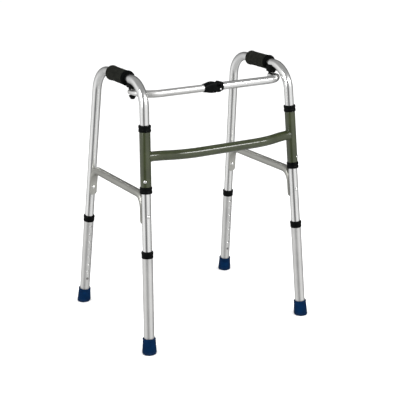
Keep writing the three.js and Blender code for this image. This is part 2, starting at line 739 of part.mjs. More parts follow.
for (const [hand, side] of Object.entries(SIDES)) {
  const { home, legs, pivot } = groups[hand];
  piece(home, `${hand}_side_tube`, sideTube(groups[hand]), POLISHED);
  piece(home, `${hand}_hand_grip`, handGrip(), GRIP_FOAM);
  piece(home, `${hand}_side_brace`, sideBrace(groups[hand]), SATIN);

  const upper = SLEEVE_TOP + STOP_COLLAR_GAP;
  const lower = SLEEVE_BOTTOM - STOP_COLLAR_GAP - STOP_COLLAR_HEIGHT;
  piece(legs.front, `${hand}_sleeve`, sleeve(side), OLIVE);
  piece(legs.front, `${hand}_sleeve_rivet`, sleeveRivet(side), BRIGHT);
  piece(legs.front, `${hand}_upper_stop_collar`, stopCollar(upper), NYLON);
  piece(legs.front, `${hand}_lower_stop_collar`, stopCollar(lower), NYLON);

  piece(pivot, `${hand}_bar_bracket`, barBracket(groups[hand]), NYLON);
  piece(pivot, `${hand}_pivot_bolt`, pivotBolt(), BRIGHT);
  piece(pivot, `${hand}_pivot_cap`, pivotCap(), NYLON);

  for (const [end, leg] of Object.entries(legs)) {
    const name = `${hand}_${end}`;
    piece(leg, `${name}_brace_rivet`, braceRivet(), BRIGHT);
    piece(leg, `${name}_extension_tube`, extensionTube(), SATIN);
    piece(leg, `${name}_extension_collar`, extensionCollar(), NYLON);
    piece(leg, `${name}_foot`, foot(leg), BLUE_RUBBER);
    piece(leg, `${name}_snap_button`, snapButton(), BRIGHT);
    piece(leg, `${name}_snap_spring`, snapSpring(), SPRING_STEEL);
  }
}

const leftEnd = WEDGE_LEFT_X + BAR_SOCKET_DEPTH;
const rightEnd = SOCKET_RIGHT_X - KNUCKLE_SOCKET_DEPTH;
piece(frame, "left_top_bar", topBar(groups.left, LEFT_BAR_R, leftEnd), SATIN);
piece(frame, "right_top_bar", topBar(groups.right, RIGHT_BAR_R, rightEnd), POLISHED);

const middle = group(frame, [0, BAR_Y, BAR_HEIGHT], [0, 0, 0]);
piece(middle, "catch_wedge", catchWedge(), NYLON);
piece(middle, "catch_knuckle", catchKnuckle(), NYLON);
const well = group(middle, [RELEASE_X, 0, RELEASE_DROP], [0, 0, 0]);
piece(well, "release_button", releaseButton(), BRIGHT);
piece(well, "release_spring", releaseSpring(), SPRING_STEEL);

// The footprint is centred on the origin and the soles stand at z = 0.
const bounds = new THREE.Box3().setFromObject(frame, true);
const centre = bounds.getCenter(vec(0, 0, 0));
frame.position.set(-centre.x, -centre.y, -bounds.min.z);
frame.updateMatrixWorld(true);

export default frame;
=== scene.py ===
from math import atan2, cos, pi, radians, sin, sqrt, tan

import bmesh
import bpy
from mathutils import Matrix, Vector


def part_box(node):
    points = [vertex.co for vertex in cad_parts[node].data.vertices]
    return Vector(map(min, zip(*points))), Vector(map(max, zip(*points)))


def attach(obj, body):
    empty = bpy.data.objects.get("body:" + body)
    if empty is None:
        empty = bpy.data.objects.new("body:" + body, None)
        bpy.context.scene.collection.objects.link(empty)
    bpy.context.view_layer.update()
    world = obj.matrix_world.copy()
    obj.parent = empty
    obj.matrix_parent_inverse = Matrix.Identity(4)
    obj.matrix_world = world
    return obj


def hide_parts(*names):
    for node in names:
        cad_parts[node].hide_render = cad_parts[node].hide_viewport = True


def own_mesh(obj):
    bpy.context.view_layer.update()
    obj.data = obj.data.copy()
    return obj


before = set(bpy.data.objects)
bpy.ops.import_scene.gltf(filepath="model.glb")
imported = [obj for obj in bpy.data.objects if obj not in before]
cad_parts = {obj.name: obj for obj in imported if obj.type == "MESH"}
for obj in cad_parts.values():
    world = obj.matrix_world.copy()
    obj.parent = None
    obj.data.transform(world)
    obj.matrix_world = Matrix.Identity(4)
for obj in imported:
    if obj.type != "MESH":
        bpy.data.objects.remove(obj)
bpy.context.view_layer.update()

# ==== Side frame tubes =========================================================================
# Each side frame is one 25.4 mm aluminium tube with a 1.6 mm wall, bent into an upside-down U over
# two formers, then polished. The legs splay a little outward, and each is drilled near its lower
# end for the snap button and higher up for the brace rivet.

MM = 0.001
SIDES = {"left": -1, "right": 1}
HALF_WIDTH = 256.0
SPLAY = radians(2.21)
TOP_HEIGHT = 739.3
TUBE_RADIUS = 12.7
TUBE_WALL = 1.6
TUBE_FOOT = 24.0
FRONT_BEND, REAR_BEND = 71.0, 74.0
CENTRING = -0.0763
BUTTON_UP = 82.0
# Below this height, inside the extension, the leg is coloured dark grey as painted shade.
RIVET_UP = 388.0
PAINTED_SHADE_UP = 284.0
FIXING_HOLE = 3.3
LEGS = {"front": (-216.0, radians(4.23), 1), "rear": (216.0, radians(7.91), -1)}


# Where a side frame, or one of its legs, stands in the whole frame. Both are made in millimetres.
def side_place(side):
    centred = Matrix.Translation((0, CENTRING, 0)) @ Matrix.Translation((side * HALF_WIDTH, 0, 0))
    return Matrix.Scale(MM, 4) @ centred @ Matrix.Rotation(-side * SPLAY, 4, "Y")


def leg_place(side, end):
    foot_y, lean, toward = LEGS[end]
    stand = Matrix.Translation((0, foot_y, 0)) @ Matrix.Rotation(0 if toward > 0 else pi, 4, "Z")
    return side_place(side) @ stand @ Matrix.Rotation(-lean, 4, "X")


# A point on a leg's axis in its side frame: so far up it, then so far toward the other leg.
def on_leg(end, up, inward=0.0):
    foot_y, lean, toward = LEGS[end]
    y = up * sin(lean) + inward * cos(lean)
    return Vector((0, foot_y + toward * y, up * cos(lean) - inward * sin(lean)))


# A centre line whose inner corners are rounded as a tube bender leaves them.
def bent(corners, radii, step=radians(2.5)):
    line = [corners[0].copy()]
    for i in range(1, len(corners) - 1):
        back = (corners[i - 1] - corners[i]).normalized()
        on = (corners[i + 1] - corners[i]).normalized()
        turn = pi - back.angle(on)
        radius = radii[i - 1]
        start = corners[i] + back * (radius * tan(turn / 2))
        centre = corners[i] + (back + on).normalized() * (radius / cos(turn / 2))
        axis = on.cross(back).normalized()
        parts = max(2, round(turn / step))
        for k in range(parts + 1):
            spoke = (start - centre).copy()
            spoke.rotate(Matrix.Rotation(turn * k / parts, 3, axis))
            line.append(centre + spoke)
    line.append(corners[-1].copy())
    return line


def new_object(name, mesh):
    made = bpy.data.objects.new(name, mesh)
    bpy.context.scene.collection.objects.link(made)
    return made


# The mesh of a shape under edit, which is then let go.
def freed(name, shape, mesh=None):
    mesh = mesh or bpy.data.meshes.new(name)
    shape.to_mesh(mesh)
    shape.free()
    return mesh


# An object that is only a line of points joined by edges, for a node tree to work along.
def line_object(name, points, closed=False):
    count = len(points)
    edges = [(i, i + 1) for i in range(count - 1)] + ([(count - 1, 0)] if closed else [])
    mesh = bpy.data.meshes.new(name)
    mesh.from_pydata([tuple(p) for p in points], edges, [])
    return new_object(name, mesh)


# The start of a geometry node tree with its named inputs, and the means to add to it.
def tree_with(name, **inputs):
    tree = bpy.data.node_groups.new(name, "GeometryNodeTree")
    tree.interface.new_socket("Geometry", in_out="INPUT", socket_type="NodeSocketGeometry")
    for label, kind in inputs.items():
        tree.interface.new_socket(label, in_out="INPUT", socket_type="NodeSocket" + kind)
    tree.interface.new_socket("Geometry", in_out="OUTPUT", socket_type="NodeSocketGeometry")
    return tree, tree.nodes.new("NodeGroupInput").outputs


# Add one node. links gives each input a socket to read or a plain value.
def add(tree, kind, links=None, **settings):
    node = tree.nodes.new(kind)
    for key, value in settings.items():
        setattr(node, key, value)
    for socket, source in (links or {}).items():
        if isinstance(source, bpy.types.NodeSocket):
            tree.links.new(source, node.inputs[socket])
        else:
            node.inputs[socket].default_value = source
    return node


# What comes out of one added node: its first output.
def via(tree, kind, links=None, **settings):
    return add(tree, kind, links, **settings).outputs[0]


def end_tree(tree, geometry, finish):
    real = add(tree, "GeometryNodeRealizeInstances", {"Geometry": geometry})
    coat = add(tree, "GeometryNodeSetMaterial", {"Geometry": real.outputs[0], "Material": finish})
    last = tree.nodes.new("NodeGroupOutput")
    tree.links.new(coat.outputs[0], last.inputs[0])


# Run a tree on an object and leave only the plain mesh that it makes.
def grown(made, tree, **values):
    modifier = made.modifiers.new("build", "NODES")
    modifier.node_group = tree
    for item in tree.interface.items_tree:
        if item.in_out == "INPUT" and item.name in values:
            modifier[item.identifier] = values[item.name]
    return settled(made)


# Swap an object's mesh for what its modifiers make of it, and drop them.
def settled(made):
    bpy.context.view_layer.update()
    graph = bpy.context.evaluated_depsgraph_get()
    mesh = bpy.data.meshes.new_from_object(made.evaluated_get(graph))
    mesh.name = made.name
    made.modifiers.clear()
    made.data = mesh
    return made


def product(tree, a, b):
    return via(tree, "ShaderNodeMath", {0: a, 1: b}, operation="MULTIPLY")


def summed(tree, a, b):
    return via(tree, "ShaderNodeMath", {0: a, 1: b}, operation="ADD")


# Keep a value of each point of a shape through the nodes that follow.
def noted(tree, geometry, kind, label, value):
    note = add(tree, "GeometryNodeCaptureAttribute", {"Geometry": geometry})
    note.capture_items.new(kind, label)
    tree.links.new(value, note.inputs[label])
    return note


# Hollow tube along a line: the outer skin, and the same skin flipped and drawn in by the wall.
# "drawn" holds each point's place round and along the tube, for the marks that drawing it left.
def drawn_tube_tree():
    tree, given = tree_with("drawn tube", Radius="Float", Wall="Float", Sides="Int",
                            Finish="Material")
    rail = via(tree, "GeometryNodeMeshToCurve", {"Mesh": given["Geometry"]})
    far = add(tree, "GeometryNodeSplineParameter").outputs["Length"]
    rail_note = noted(tree, rail, "FLOAT", "Along", far)
    circle = via(tree, "GeometryNodeCurvePrimitiveCircle",
                 {"Resolution": given["Sides"], "Radius": given["Radius"]})
    circle_note = noted(tree, circle, "VECTOR", "Round", via(tree, "GeometryNodeInputPosition"))
    skin = add(tree, "GeometryNodeCurveToMesh",
               {"Curve": rail_note.outputs["Geometry"],
                "Profile Curve": circle_note.outputs["Geometry"]})
    parted = add(tree, "ShaderNodeSeparateXYZ", {"Vector": circle_note.outputs["Round"]})
    joined = via(tree, "ShaderNodeCombineXYZ",
                 {"X": parted.outputs["X"], "Y": parted.outputs["Y"],
                  "Z": rail_note.outputs["Along"]})
    marked = via(tree, "GeometryNodeStoreNamedAttribute",
                 {"Geometry": skin.outputs[0], "Name": "drawn", "Value": joined},
                 data_type="FLOAT_VECTOR", domain="POINT")
    bore = via(tree, "GeometryNodeExtrudeMesh",
               {"Mesh": marked, "Offset Scale": product(tree, given["Wall"], -1.0),
                "Individual": False}, mode="FACES")
    turned_in = via(tree, "GeometryNodeFlipFaces", {"Mesh": bore})
    both = add(tree, "GeometryNodeJoinGeometry")
    tree.links.new(marked, both.inputs[0])
    tree.links.new(turned_in, both.inputs[0])
    shut = via(tree, "GeometryNodeMergeByDistance",
               {"Geometry": both.outputs[0], "Distance": 1e-6})
    end_tree(tree, shut, given["Finish"])
    return tree


# A material with its output and main shader, and the sockets that stay the same all over set.
def finish_named(name, colour, metallic, roughness, **fixed):
    made = bpy.data.materials.new(name)
    made.use_nodes = True
    tree = made.node_tree
    shader = tree.nodes["Principled BSDF"]
    shader.inputs["Base Color"].default_value = (*colour, 1)
    shader.inputs["Metallic"].default_value = metallic
    shader.inputs["Roughness"].default_value = roughness
    for key, value in fixed.items():
        shader.inputs[key.replace("_", " ")].default_value = value
    return made, tree, shader


def noise(tree, vector, scale, detail=3.0, stretch=None):
    if stretch:
        vector = via(tree, "ShaderNodeMapping", {"Vector": vector, "Scale": stretch})
    return via(tree, "ShaderNodeTexNoise", {"Vector": vector, "Scale": scale, "Detail": detail})


def ranged(tree, value, low, high, from_low=0.25, from_high=0.75):
    return via(tree, "ShaderNodeMapRange",
               {"Value": value, "From Min": from_low, "From Max": from_high,
                "To Min": low, "To Max": high})


def toned(tree, value, dark, light):
    ramp = add(tree, "ShaderNodeValToRGB", {0: value})
    for element, colour, at in zip(ramp.color_ramp.elements, (dark, light), (0.3, 0.72)):
        element.color, element.position = (*colour, 1), at
    return ramp.outputs[0]


# Give a shader its colour, its roughness, and a relief of so much height in metres.
def surfaced(tree, shader, colour, rough, height, strength, distance):
    relief = via(tree, "ShaderNodeBump",
                 {"Height": height, "Strength": strength, "Distance": distance})
    for label, value in (("Base Color", colour), ("Roughness", rough), ("Normal", relief)):
        if value is not None:
            tree.links.new(value, shader.inputs[label])


def object_place(tree):
    return add(tree, "ShaderNodeTexCoord").outputs["Object"]


def drawn_place(tree):
    return add(tree, "ShaderNodeAttribute", attribute_name="drawn").outputs["Vector"]


# Drawn aluminium: fine marks run along the tube, with cloudy handling marks over them.
def aluminium(name, dark, light, sleek, rough, marks):
    made, tree, shader = finish_named(name, light, 1.0, rough)
    drawn, place = drawn_place(tree), object_place(tree)
    lines = noise(tree, drawn, 1.0, 4.0, (1500, 1500, 9))
    broad = noise(tree, drawn, 1.0, 2.0, (260, 260, 3))
    clouds = noise(tree, place, 17.0, 4.0)
    shade = summed(tree, product(tree, broad, 0.5), product(tree, clouds, 0.5))
    worn = summed(tree, product(tree, lines, 0.35), product(tree, clouds, 0.65))
    surfaced(tree, shader, toned(tree, shade, dark, light), ranged(tree, worn, sleek, rough),
             lines, marks, 0.00002)
    return made


polished_aluminium = aluminium("polished_aluminium", (0.76, 0.765, 0.76), (0.90, 0.90, 0.89),
                               0.14, 0.25, 0.35)
# Where the extension slides over it, a leg is rubbed dull and coloured dark grey: painted shade for
# the holes.
rubbed_aluminium = aluminium("rubbed_aluminium", (0.045, 0.047, 0.047), (0.085, 0.087, 0.085),
                             0.45, 0.6, 0.5)
drawn_tube = drawn_tube_tree()


# Join objects to one, or cut them out of it, then drop them. The result is a plain mesh.
def combined(made, others, operation):
    for other in others:
        change = made.modifiers.new(operation, "BOOLEAN")
        change.operation, change.solver, change.object = operation, "EXACT", other
    settled(made)
    for other in others:
        bpy.data.objects.remove(other)
    return made


def drilled(made, *cutters):
    return combined(made, cutters, "DIFFERENCE")


# A plain round bar about Z, Y or X, in a place's own millimetres, as a cutter.
def bar_cutter(place, radius, low, high, centre=(0, 0, 0), along="Z", sides=32):
    shape = bmesh.new()
    bmesh.ops.create_cone(shape, cap_ends=True, segments=sides, radius1=radius, radius2=radius,
                          depth=high - low)
    shape.transform(Matrix.Translation((0, 0, (low + high) / 2)))
    if along == "Y":
        shape.transform(Matrix.Rotation(-pi / 2, 4, "X"))
    if along == "X":
        shape.transform(Matrix.Rotation(pi / 2, 4, "Y"))
    shape.transform(place @ Matrix.Translation(centre))
    return new_object("cutter", freed("cutter", shape))


def smooth(made, angle=32):
    made.data.shade_smooth()
    made.data.set_sharp_from_angle(angle=radians(angle))
    return made


def side_line():
    tops = {end: on_leg(end, TOP_HEIGHT / cos(LEGS[end][1])) for end in LEGS}
    corners = [on_leg("rear", TUBE_FOOT), tops["rear"], tops["front"], on_leg("front", TUBE_FOOT)]
    line = bent(corners, [REAR_BEND, FRONT_BEND])
    return [line[0], on_leg("rear", PAINTED_SHADE_UP), *line[1:-1], on_leg("front", PAINTED_SHADE_UP), line[-1]]


for hand, side in SIDES.items():
    place = side_place(side)
    tube = line_object(hand + "_frame_tube", [place @ p for p in side_line()])
    grown(tube, drawn_tube, Radius=TUBE_RADIUS * MM, Wall=TUBE_WALL * MM, Sides=48,
          Finish=polished_aluminium)
    for end in LEGS:
        leg = leg_place(side, end)
        drilled(tube, bar_cutter(leg, FIXING_HOLE, 5, 20, (0, 0, BUTTON_UP), "Y", 20),
                bar_cutter(leg, FIXING_HOLE, -20, 20, (0, 0, RIVET_UP), "Y", 20))
    smooth(tube)
    # Faces of each leg low down inside the extension take the dark grey painted shade.
    tube.data.materials.append(rubbed_aluminium)
    for end in LEGS:
        inverse = leg_place(side, end).inverted()
        for face in tube.data.polygons:
            p = inverse @ face.center
            if p.z < PAINTED_SHADE_UP and abs(p.y) < 30:
                face.material_index = 1
    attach(tube, hand + "_side_frame")
    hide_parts(hand + "_side_tube")

# ==== Hand grips ===============================================================================
# Closed-cell foam sleeves, moulded with a fuller ring at each end and pushed over the level top of
# the tube with a little water, which dries and leaves them held by their own squeeze.

GRIP_RADIUS, GRIP_RING, GRIP_LENGTH, GRIP_FRONT = 19.9, 21.2, 98.0, -73.0


# Round every corner of a closed (radius, height) outline with its own small radius.
def softened(outline, radius, parts=4):
    made, count = [], len(outline)
    for i, (r, z) in enumerate(outline):
        size = radius[i] if isinstance(radius, (list, tuple)) else radius
        here = Vector((r, z))
        back, on = Vector(outline[i - 1]) - here, Vector(outline[(i + 1) % count]) - here
        turn = pi - back.angle(on)
        if r < 1e-6 or size < 1e-6 or turn < 0.05:
            made.append((r, z))
            continue
        reach = min(size * tan(turn / 2), back.length * 0.45, on.length * 0.45)
        size = reach / tan(turn / 2)
        centre = here + (back.normalized() + on.normalized()).normalized() * (size / cos(turn / 2))
        a = here + back.normalized() * reach - centre
        b = here + on.normalized() * reach - centre
        for k in range(parts + 1):
            t = k / parts
            spoke = (a * (1 - t) + b * t).normalized() * size
            made.append(tuple(centre + spoke))
    return made


# Merge a mesh's doubled points and turn its faces outward.
def closed_up(mesh, name, dist, into=None):
    shape = bmesh.new()
    shape.from_mesh(mesh)
    bmesh.ops.remove_doubles(shape, verts=shape.verts, dist=dist)
    bmesh.ops.recalc_face_normals(shape, faces=shape.faces)
    return freed(name, shape, into)


# A mesh object from points in a place's own millimetres. It keeps those as "drawn".
def piece_object(name, points, faces, place, finish, angle=32):
    mesh = bpy.data.meshes.new(name)
    mesh.from_pydata([tuple(p) for p in points], [], faces)
    note = mesh.attributes.new("drawn", "FLOAT_VECTOR", "POINT")
    note.data.foreach_set("vector", [c * MM for p in points for c in p])
    mesh.transform(place)
    closed_up(mesh, name, 1e-7, mesh)
    mesh.materials.append(finish)
    return smooth(new_object(name, mesh), angle)


# Turn an outline about Z. shaped(r, z, angle) may move a point, as flutes or a level sole do.
def turned_faces(outline, sides, shaped=None):
    points, faces, rows = [], [], []
    for r, z in outline:
        if r < 1e-6:
            rows.append([len(points)] * sides)
            points.append(Vector((0, 0, z)))
            continue
        rows.append(range(len(points), len(points) + sides))
        for k in range(sides):
            a = 2 * pi * k / sides
            points.append(shaped(r, z, a) if shaped else Vector((r * cos(a), r * sin(a), z)))
    for i, row in enumerate(rows):
        after = rows[(i + 1) % len(rows)]
        for k in range(sides):
            n = (k + 1) % sides
            ring = []
            for v in (row[k], row[n], after[n], after[k]):
                if v not in ring:
                    ring.append(v)
            if len(ring) > 2:
                faces.append(ring)
    return points, faces


# A point at so much radius and height, at an angle round Z.
def spun(r, z, a):
    return Vector((cos(a), sin(a), 0)) * r + Vector((0, 0, z))


def turned(name, outline, place, finish, sides=48, shaped=None, angle=32):
    points, faces = turned_faces(outline, sides, shaped)
    return piece_object(name, points, faces, place, finish, angle)


# A colour that gives way to a plain one by a share. Sockets 6 and 7 take the two colours.
def mingled(tree, share, colour, plain):
    mix = add(tree, "ShaderNodeMix", {"Factor": share, 6: colour, 7: (*plain, 1)},
              data_type="RGBA")
    return mix.outputs[2]


def foam():
    made, tree, shader = finish_named("grip_foam", (0.010, 0.0105, 0.0085), 0.0, 0.86,
                                      Specular_IOR_Level=0.06)
    place = object_place(tree)
    cells = via(tree, "ShaderNodeTexVoronoi", {"Vector": place, "Scale": 900.0})
    creases = noise(tree, place, 120.0, 5.0)
    along = add(tree, "ShaderNodeSeparateXYZ", {"Vector": drawn_place(tree)}).outputs["Z"]
    # The ring at the front end is darker than the rest.
    ring = ranged(tree, along, 1.0, 0.0, 0.006, 0.010)
    grey = toned(tree, creases, (0.006, 0.0064, 0.0052), (0.015, 0.0158, 0.0125))
    surfaced(tree, shader, mingled(tree, ring, grey, (0.0012, 0.0014, 0.0013)),
             ranged(tree, creases, 0.78, 0.93),
             summed(tree, product(tree, cells, 0.5), creases), 0.55, 0.0004)
    return made


grip_foam = foam()
for hand, side in SIDES.items():
    core, edge, length = TUBE_RADIUS + 0.2, GRIP_RING, GRIP_LENGTH
    outline = [(core, 0), (edge - 1.2, 0), (edge, 2), (edge, 5.5), (GRIP_RADIUS, 9)]
    outline += [(GRIP_RADIUS, 9 + (length - 18) * k / 12) for k in range(1, 12)]
    outline += [(GRIP_RADIUS, length - 9), (edge, length - 5.5), (edge, length - 2),
                (edge - 1.2, length), (core, length)]
    # The foam gives a little under its own squeeze, so it is nowhere quite round.
    worn = lambda r, z, a: spun(
        r + (0.22 * sin(3 * a + z * 0.07) + 0.16 * sin(z * 0.21 + 2 * a) if r > 15 else 0), z, a)
    lay = Matrix.Translation((0, GRIP_FRONT, TOP_HEIGHT)) @ Matrix.Rotation(-pi / 2, 4, "X")
    grip = turned(hand + "_foam_grip", softened(outline, 1.6), side_place(side) @ lay, grip_foam,
                  64, worn, 50)
    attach(grip, hand + "_side_frame")
    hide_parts(hand + "_hand_grip")

# ==== Side braces ==============================================================================
# A lighter 22 mm aluminium tube ties each front leg to its rear leg. Both ends turn down, are
# pressed flat in a tool with rounded noses, and lie against the legs. Satin finish.

BRACE_RADIUS, BRACE_WALL, BRACE_UP, BRACE_BEND = 11.2, 1.5, 440.0, 32.0
TAB_BOTTOM, TAB_FLAT, TAB_WIDE, TAB_THICK = 364.0, 34.0, 11.8, 2.2
TAB_OFF = TUBE_RADIUS + TAB_THICK + 0.3

satin_aluminium = aluminium("satin_aluminium", (0.62, 0.62, 0.612), (0.75, 0.75, 0.735),
                            0.38, 0.50, 0.5)
brace_aluminium = aluminium("brace_aluminium", (0.40, 0.40, 0.37), (0.52, 0.52, 0.485),
                            0.34, 0.46, 0.5)


# From a to b as t goes from 0 to 1, slow at both ends.
def eased(a, b, t):
    t = min(max(t, 0.0), 1.0)
    return a + (b - a) * t * t * (3 - 2 * t)


# Evenly spaced stations along a line, each with its distance from the start.
def stations(line, step):
    lengths = [0.0]
    for a, b in zip(line, line[1:]):
        lengths.append(lengths[-1] + (b - a).length)
    total, made, k = lengths[-1], [], 0
    count = max(2, round(total / step))
    for i in range(count + 1):
        s = total * i / count
        while k < len(line) - 2 and lengths[k + 1] < s:
            k += 1
        t = (s - lengths[k]) / (lengths[k + 1] - lengths[k])
        made.append((s, line[k].lerp(line[k + 1], t)))
    return made, total


# A point of a unit circle that is squared up: 2 is round, and more is squarer.
def squared(a, square):
    return (abs(cos(a)) ** (2 / square) * (1 if cos(a) > 0 else -1),
            abs(sin(a)) ** (2 / square) * (1 if sin(a) > 0 else -1))


# The faces between two rings of points that start at a and at b.
def band(a, b, sides):
    return [[a + k, a + (k + 1) % sides, b + (k + 1) % sides, b + k] for k in range(sides)]


# A hollow tube in one plane whose section changes: section(s, total) gives its half size across
# the plane and in it, and how square it is. "drawn" holds the place round and along it.
def shaped_tube(name, line, across, section, wall, place, finish, sides=40, step=2.5):
    path, total = stations(line, step)
    points, drawn, rings = [], [], []
    for skin in (0, 1):
        rows = []
        for i, (s, p) in enumerate(path):
            ahead = path[min(i + 1, len(path) - 1)][1] - path[max(i - 1, 0)][1]
            side_way = ahead.normalized().cross(across).normalized()
            wide, deep, square = section(s, total)
            if skin:
                wide, deep = max(wide - wall, wide * 0.3), max(deep - wall, deep * 0.3)
            rows.append(len(points))
            for k in range(sides):
                x, y = squared(2 * pi * k / sides, square)
                x, y = x * wide, y * deep
                points.append(p + across * x + side_way * y)
                drawn.append(Vector((x, y, s)))
        rings.append(rows)
    faces = []
    for rows in rings:
        for a, b in zip(rows, rows[1:]):
            faces += band(a, b, sides)
    for end in (0, -1):
        faces += band(rings[0][end], rings[1][end], sides)
    made = piece_object(name, points, faces, place, finish)
    note = made.data.attributes["drawn"]
    if len(note.data) == len(drawn):
        note.data.foreach_set("vector", [c * MM for p in drawn for c in p])
    return made


for hand, side in SIDES.items():
    corner = {end: on_leg(end, BRACE_UP / cos(LEGS[end][1]), TAB_OFF) for end in LEGS}
    line = bent([on_leg("rear", TAB_BOTTOM, TAB_OFF), corner["rear"], corner["front"],
                 on_leg("front", TAB_BOTTOM, TAB_OFF)], [BRACE_BEND, BRACE_BEND])

    def pressed(s, total):
        near = min(s, total - s)
        t = (near - TAB_FLAT) / 52.0
        nose = sqrt(max(0.0, 1 - (1 - min(near / 9.0, 1.0)) ** 2 * 0.75))
        return (eased(TAB_WIDE, BRACE_RADIUS, t) * nose, eased(TAB_THICK, BRACE_RADIUS, t),
                eased(5.0, 2.0, t))

    brace = shaped_tube(hand + "_brace_tube", line, Vector((1, 0, 0)), pressed, BRACE_WALL,
                        side_place(side), brace_aluminium)
    drilled(brace, *[bar_cutter(leg_place(side, end), FIXING_HOLE, 10, 26, (0, 0, RIVET_UP), "Y",
                                20) for end in LEGS])
    smooth(brace, 40)
    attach(brace, hand + "_side_frame")
    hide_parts(hand + "_side_brace")

# ==== Brace rivets =============================================================================
# One bright plated steel rivet goes right through each leg and the brace's tab. Its factory head is
# a low dome inside the frame, and the other head is set against the leg's outer face.

RIVET_SHANK, RIVET_HEAD, FACTORY_DOME, SET_DOME = 3.0, 5.2, 2.8, 2.6


def plated(name, colour, rough):
    made, tree, shader = finish_named(name, colour, 1.0, rough)
    place = object_place(tree)
    handled = ranged(tree, noise(tree, place, 160.0), rough * 0.7, rough * 1.5)
    surfaced(tree, shader, None, handled, noise(tree, place, 900.0, 2.0), 0.12, 0.00005)
    return made


bright_steel = plated("bright_steel", (0.88, 0.88, 0.87), 0.14)


# Copies of one fixing, each at a point and turned to the way it faces.
def fixings_tree():
    tree, given = tree_with("fixings on points", Fixing="Object", Finish="Material")
    shape = add(tree, "GeometryNodeObjectInfo", {"Object": given["Fixing"]})
    facing = add(tree, "GeometryNodeInputNamedAttribute", {"Name": "facing"},
                 data_type="FLOAT_VECTOR")
    turn = via(tree, "FunctionNodeAlignRotationToVector",
               {"Vector": facing.outputs["Attribute"]}, axis="Z")
    dots = via(tree, "GeometryNodeMeshToPoints", {"Mesh": given["Geometry"]})
    copies = via(tree, "GeometryNodeInstanceOnPoints",
                 {"Points": dots, "Instance": shape.outputs["Geometry"], "Rotation": turn})
    end_tree(tree, copies, given["Finish"])
    return tree


fixings = fixings_tree()


# spots is a list of (point, way it faces) in metres. shape is a fixing made about Z.
def fixed_at(name, spots, shape, finish):
    made = line_object(name, [p for p, _ in spots])
    note = made.data.attributes.new("facing", "FLOAT_VECTOR", "POINT")
    note.data.foreach_set("vector", [c for _, way in spots for c in way])
    grown(made, fixings, Fixing=shape, Finish=finish)
    bpy.data.objects.remove(shape)
    return smooth(made)


# The (radius, height) outline of a dome, from its rim to its top.
def dome(radius, base, height, parts=7):
    return [(radius * cos(pi / 2 * k / parts), base + height * sin(pi / 2 * k / parts))
            for k in range(parts + 1)]


for hand, side in SIDES.items():
    near, far = TUBE_RADIUS + 0.1, TAB_OFF + TAB_THICK + 0.1
    top = dome(RIVET_HEAD, far, FACTORY_DOME)
    foot = [(r, -z) for r, z in reversed(dome(RIVET_HEAD, near, SET_DOME))]
    outline = foot + [(RIVET_SHANK, -near), (RIVET_SHANK, far)] + top
    outline[-1], outline[0] = (0, outline[-1][1]), (0, outline[0][1])
    rivet = turned("rivet", outline, Matrix.Scale(MM, 4), bright_steel, 28)
    spots = []
    for end in LEGS:
        leg = leg_place(side, end)
        spots.append((leg @ Vector((0, 0, RIVET_UP)), leg.to_3x3() @ Vector((0, 1000, 0))))
    rivets = fixed_at(hand + "_brace_rivets", spots, rivet, bright_steel)
    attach(rivets, hand + "_side_frame")
    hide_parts(hand + "_front_brace_rivet", hand + "_rear_brace_rivet")

# ==== Front crossbar and sleeves ===============================================================
# The front of the frame is a steel H: a bowed 27 mm crossbar welded at each end to a sleeve, all of
# it powder coated olive green. The side frames turn in the sleeves when the walker is folded.

SLEEVE_RADIUS, SLEEVE_BORE, SLEEVE_LOW, SLEEVE_HIGH = 14.9, 13.3, 468.4, 615.6
CROSS_RADIUS, CROSS_WALL, CROSS_UP = 13.4, 1.6, 546.0
BOW, BOW_STRAIGHT, BOW_RAMP = 29.0, 26.0, 108.0
BEAD_RADIUS, BEAD_RIPPLE, BEAD_PITCH, BEAD_POINTS = 1.5, 0.13, 1.9, 72


def powder_coat():
    made, tree, shader = finish_named("olive_powder_coat", (0.022, 0.028, 0.0105), 0.0, 0.34,
                                      Specular_IOR_Level=0.1, Coat_Weight=1.0,
                                      Coat_Roughness=0.15, Coat_IOR=1.6)
    place = object_place(tree)
    peel = noise(tree, place, 420.0, 2.0)
    cloud = noise(tree, place, 28.0, 4.0)
    surfaced(tree, shader, toned(tree, cloud, (0.0165, 0.022, 0.0058), (0.025, 0.032, 0.0095)),
             ranged(tree, cloud, 0.26, 0.38), peel, 0.12, 0.0002)
    return made


olive_coat = powder_coat()


# Weld bead: a wire along a line, its thickness rippling as the welder moved the torch.
def bead_tree():
    tree, given = tree_with("weld bead", Radius="Float", Ripple="Float", Pitch="Float",
                            Sides="Int", Finish="Material")
    rail = via(tree, "GeometryNodeMeshToCurve", {"Mesh": given["Geometry"]})
    far = add(tree, "GeometryNodeSplineParameter").outputs["Length"]
    phase = via(tree, "ShaderNodeMath", {0: far, 1: given["Pitch"]}, operation="DIVIDE")
    wave = via(tree, "ShaderNodeMath", {0: product(tree, phase, 2 * pi)}, operation="SINE")
    size = summed(tree, product(tree, wave, given["Ripple"]), 1.0)
    circle = via(tree, "GeometryNodeCurvePrimitiveCircle",
                 {"Resolution": given["Sides"], "Radius": given["Radius"]})
    skin = via(tree, "GeometryNodeCurveToMesh",
               {"Curve": rail, "Profile Curve": circle, "Scale": size, "Fill Caps": True})
    end_tree(tree, skin, given["Finish"])
    return tree


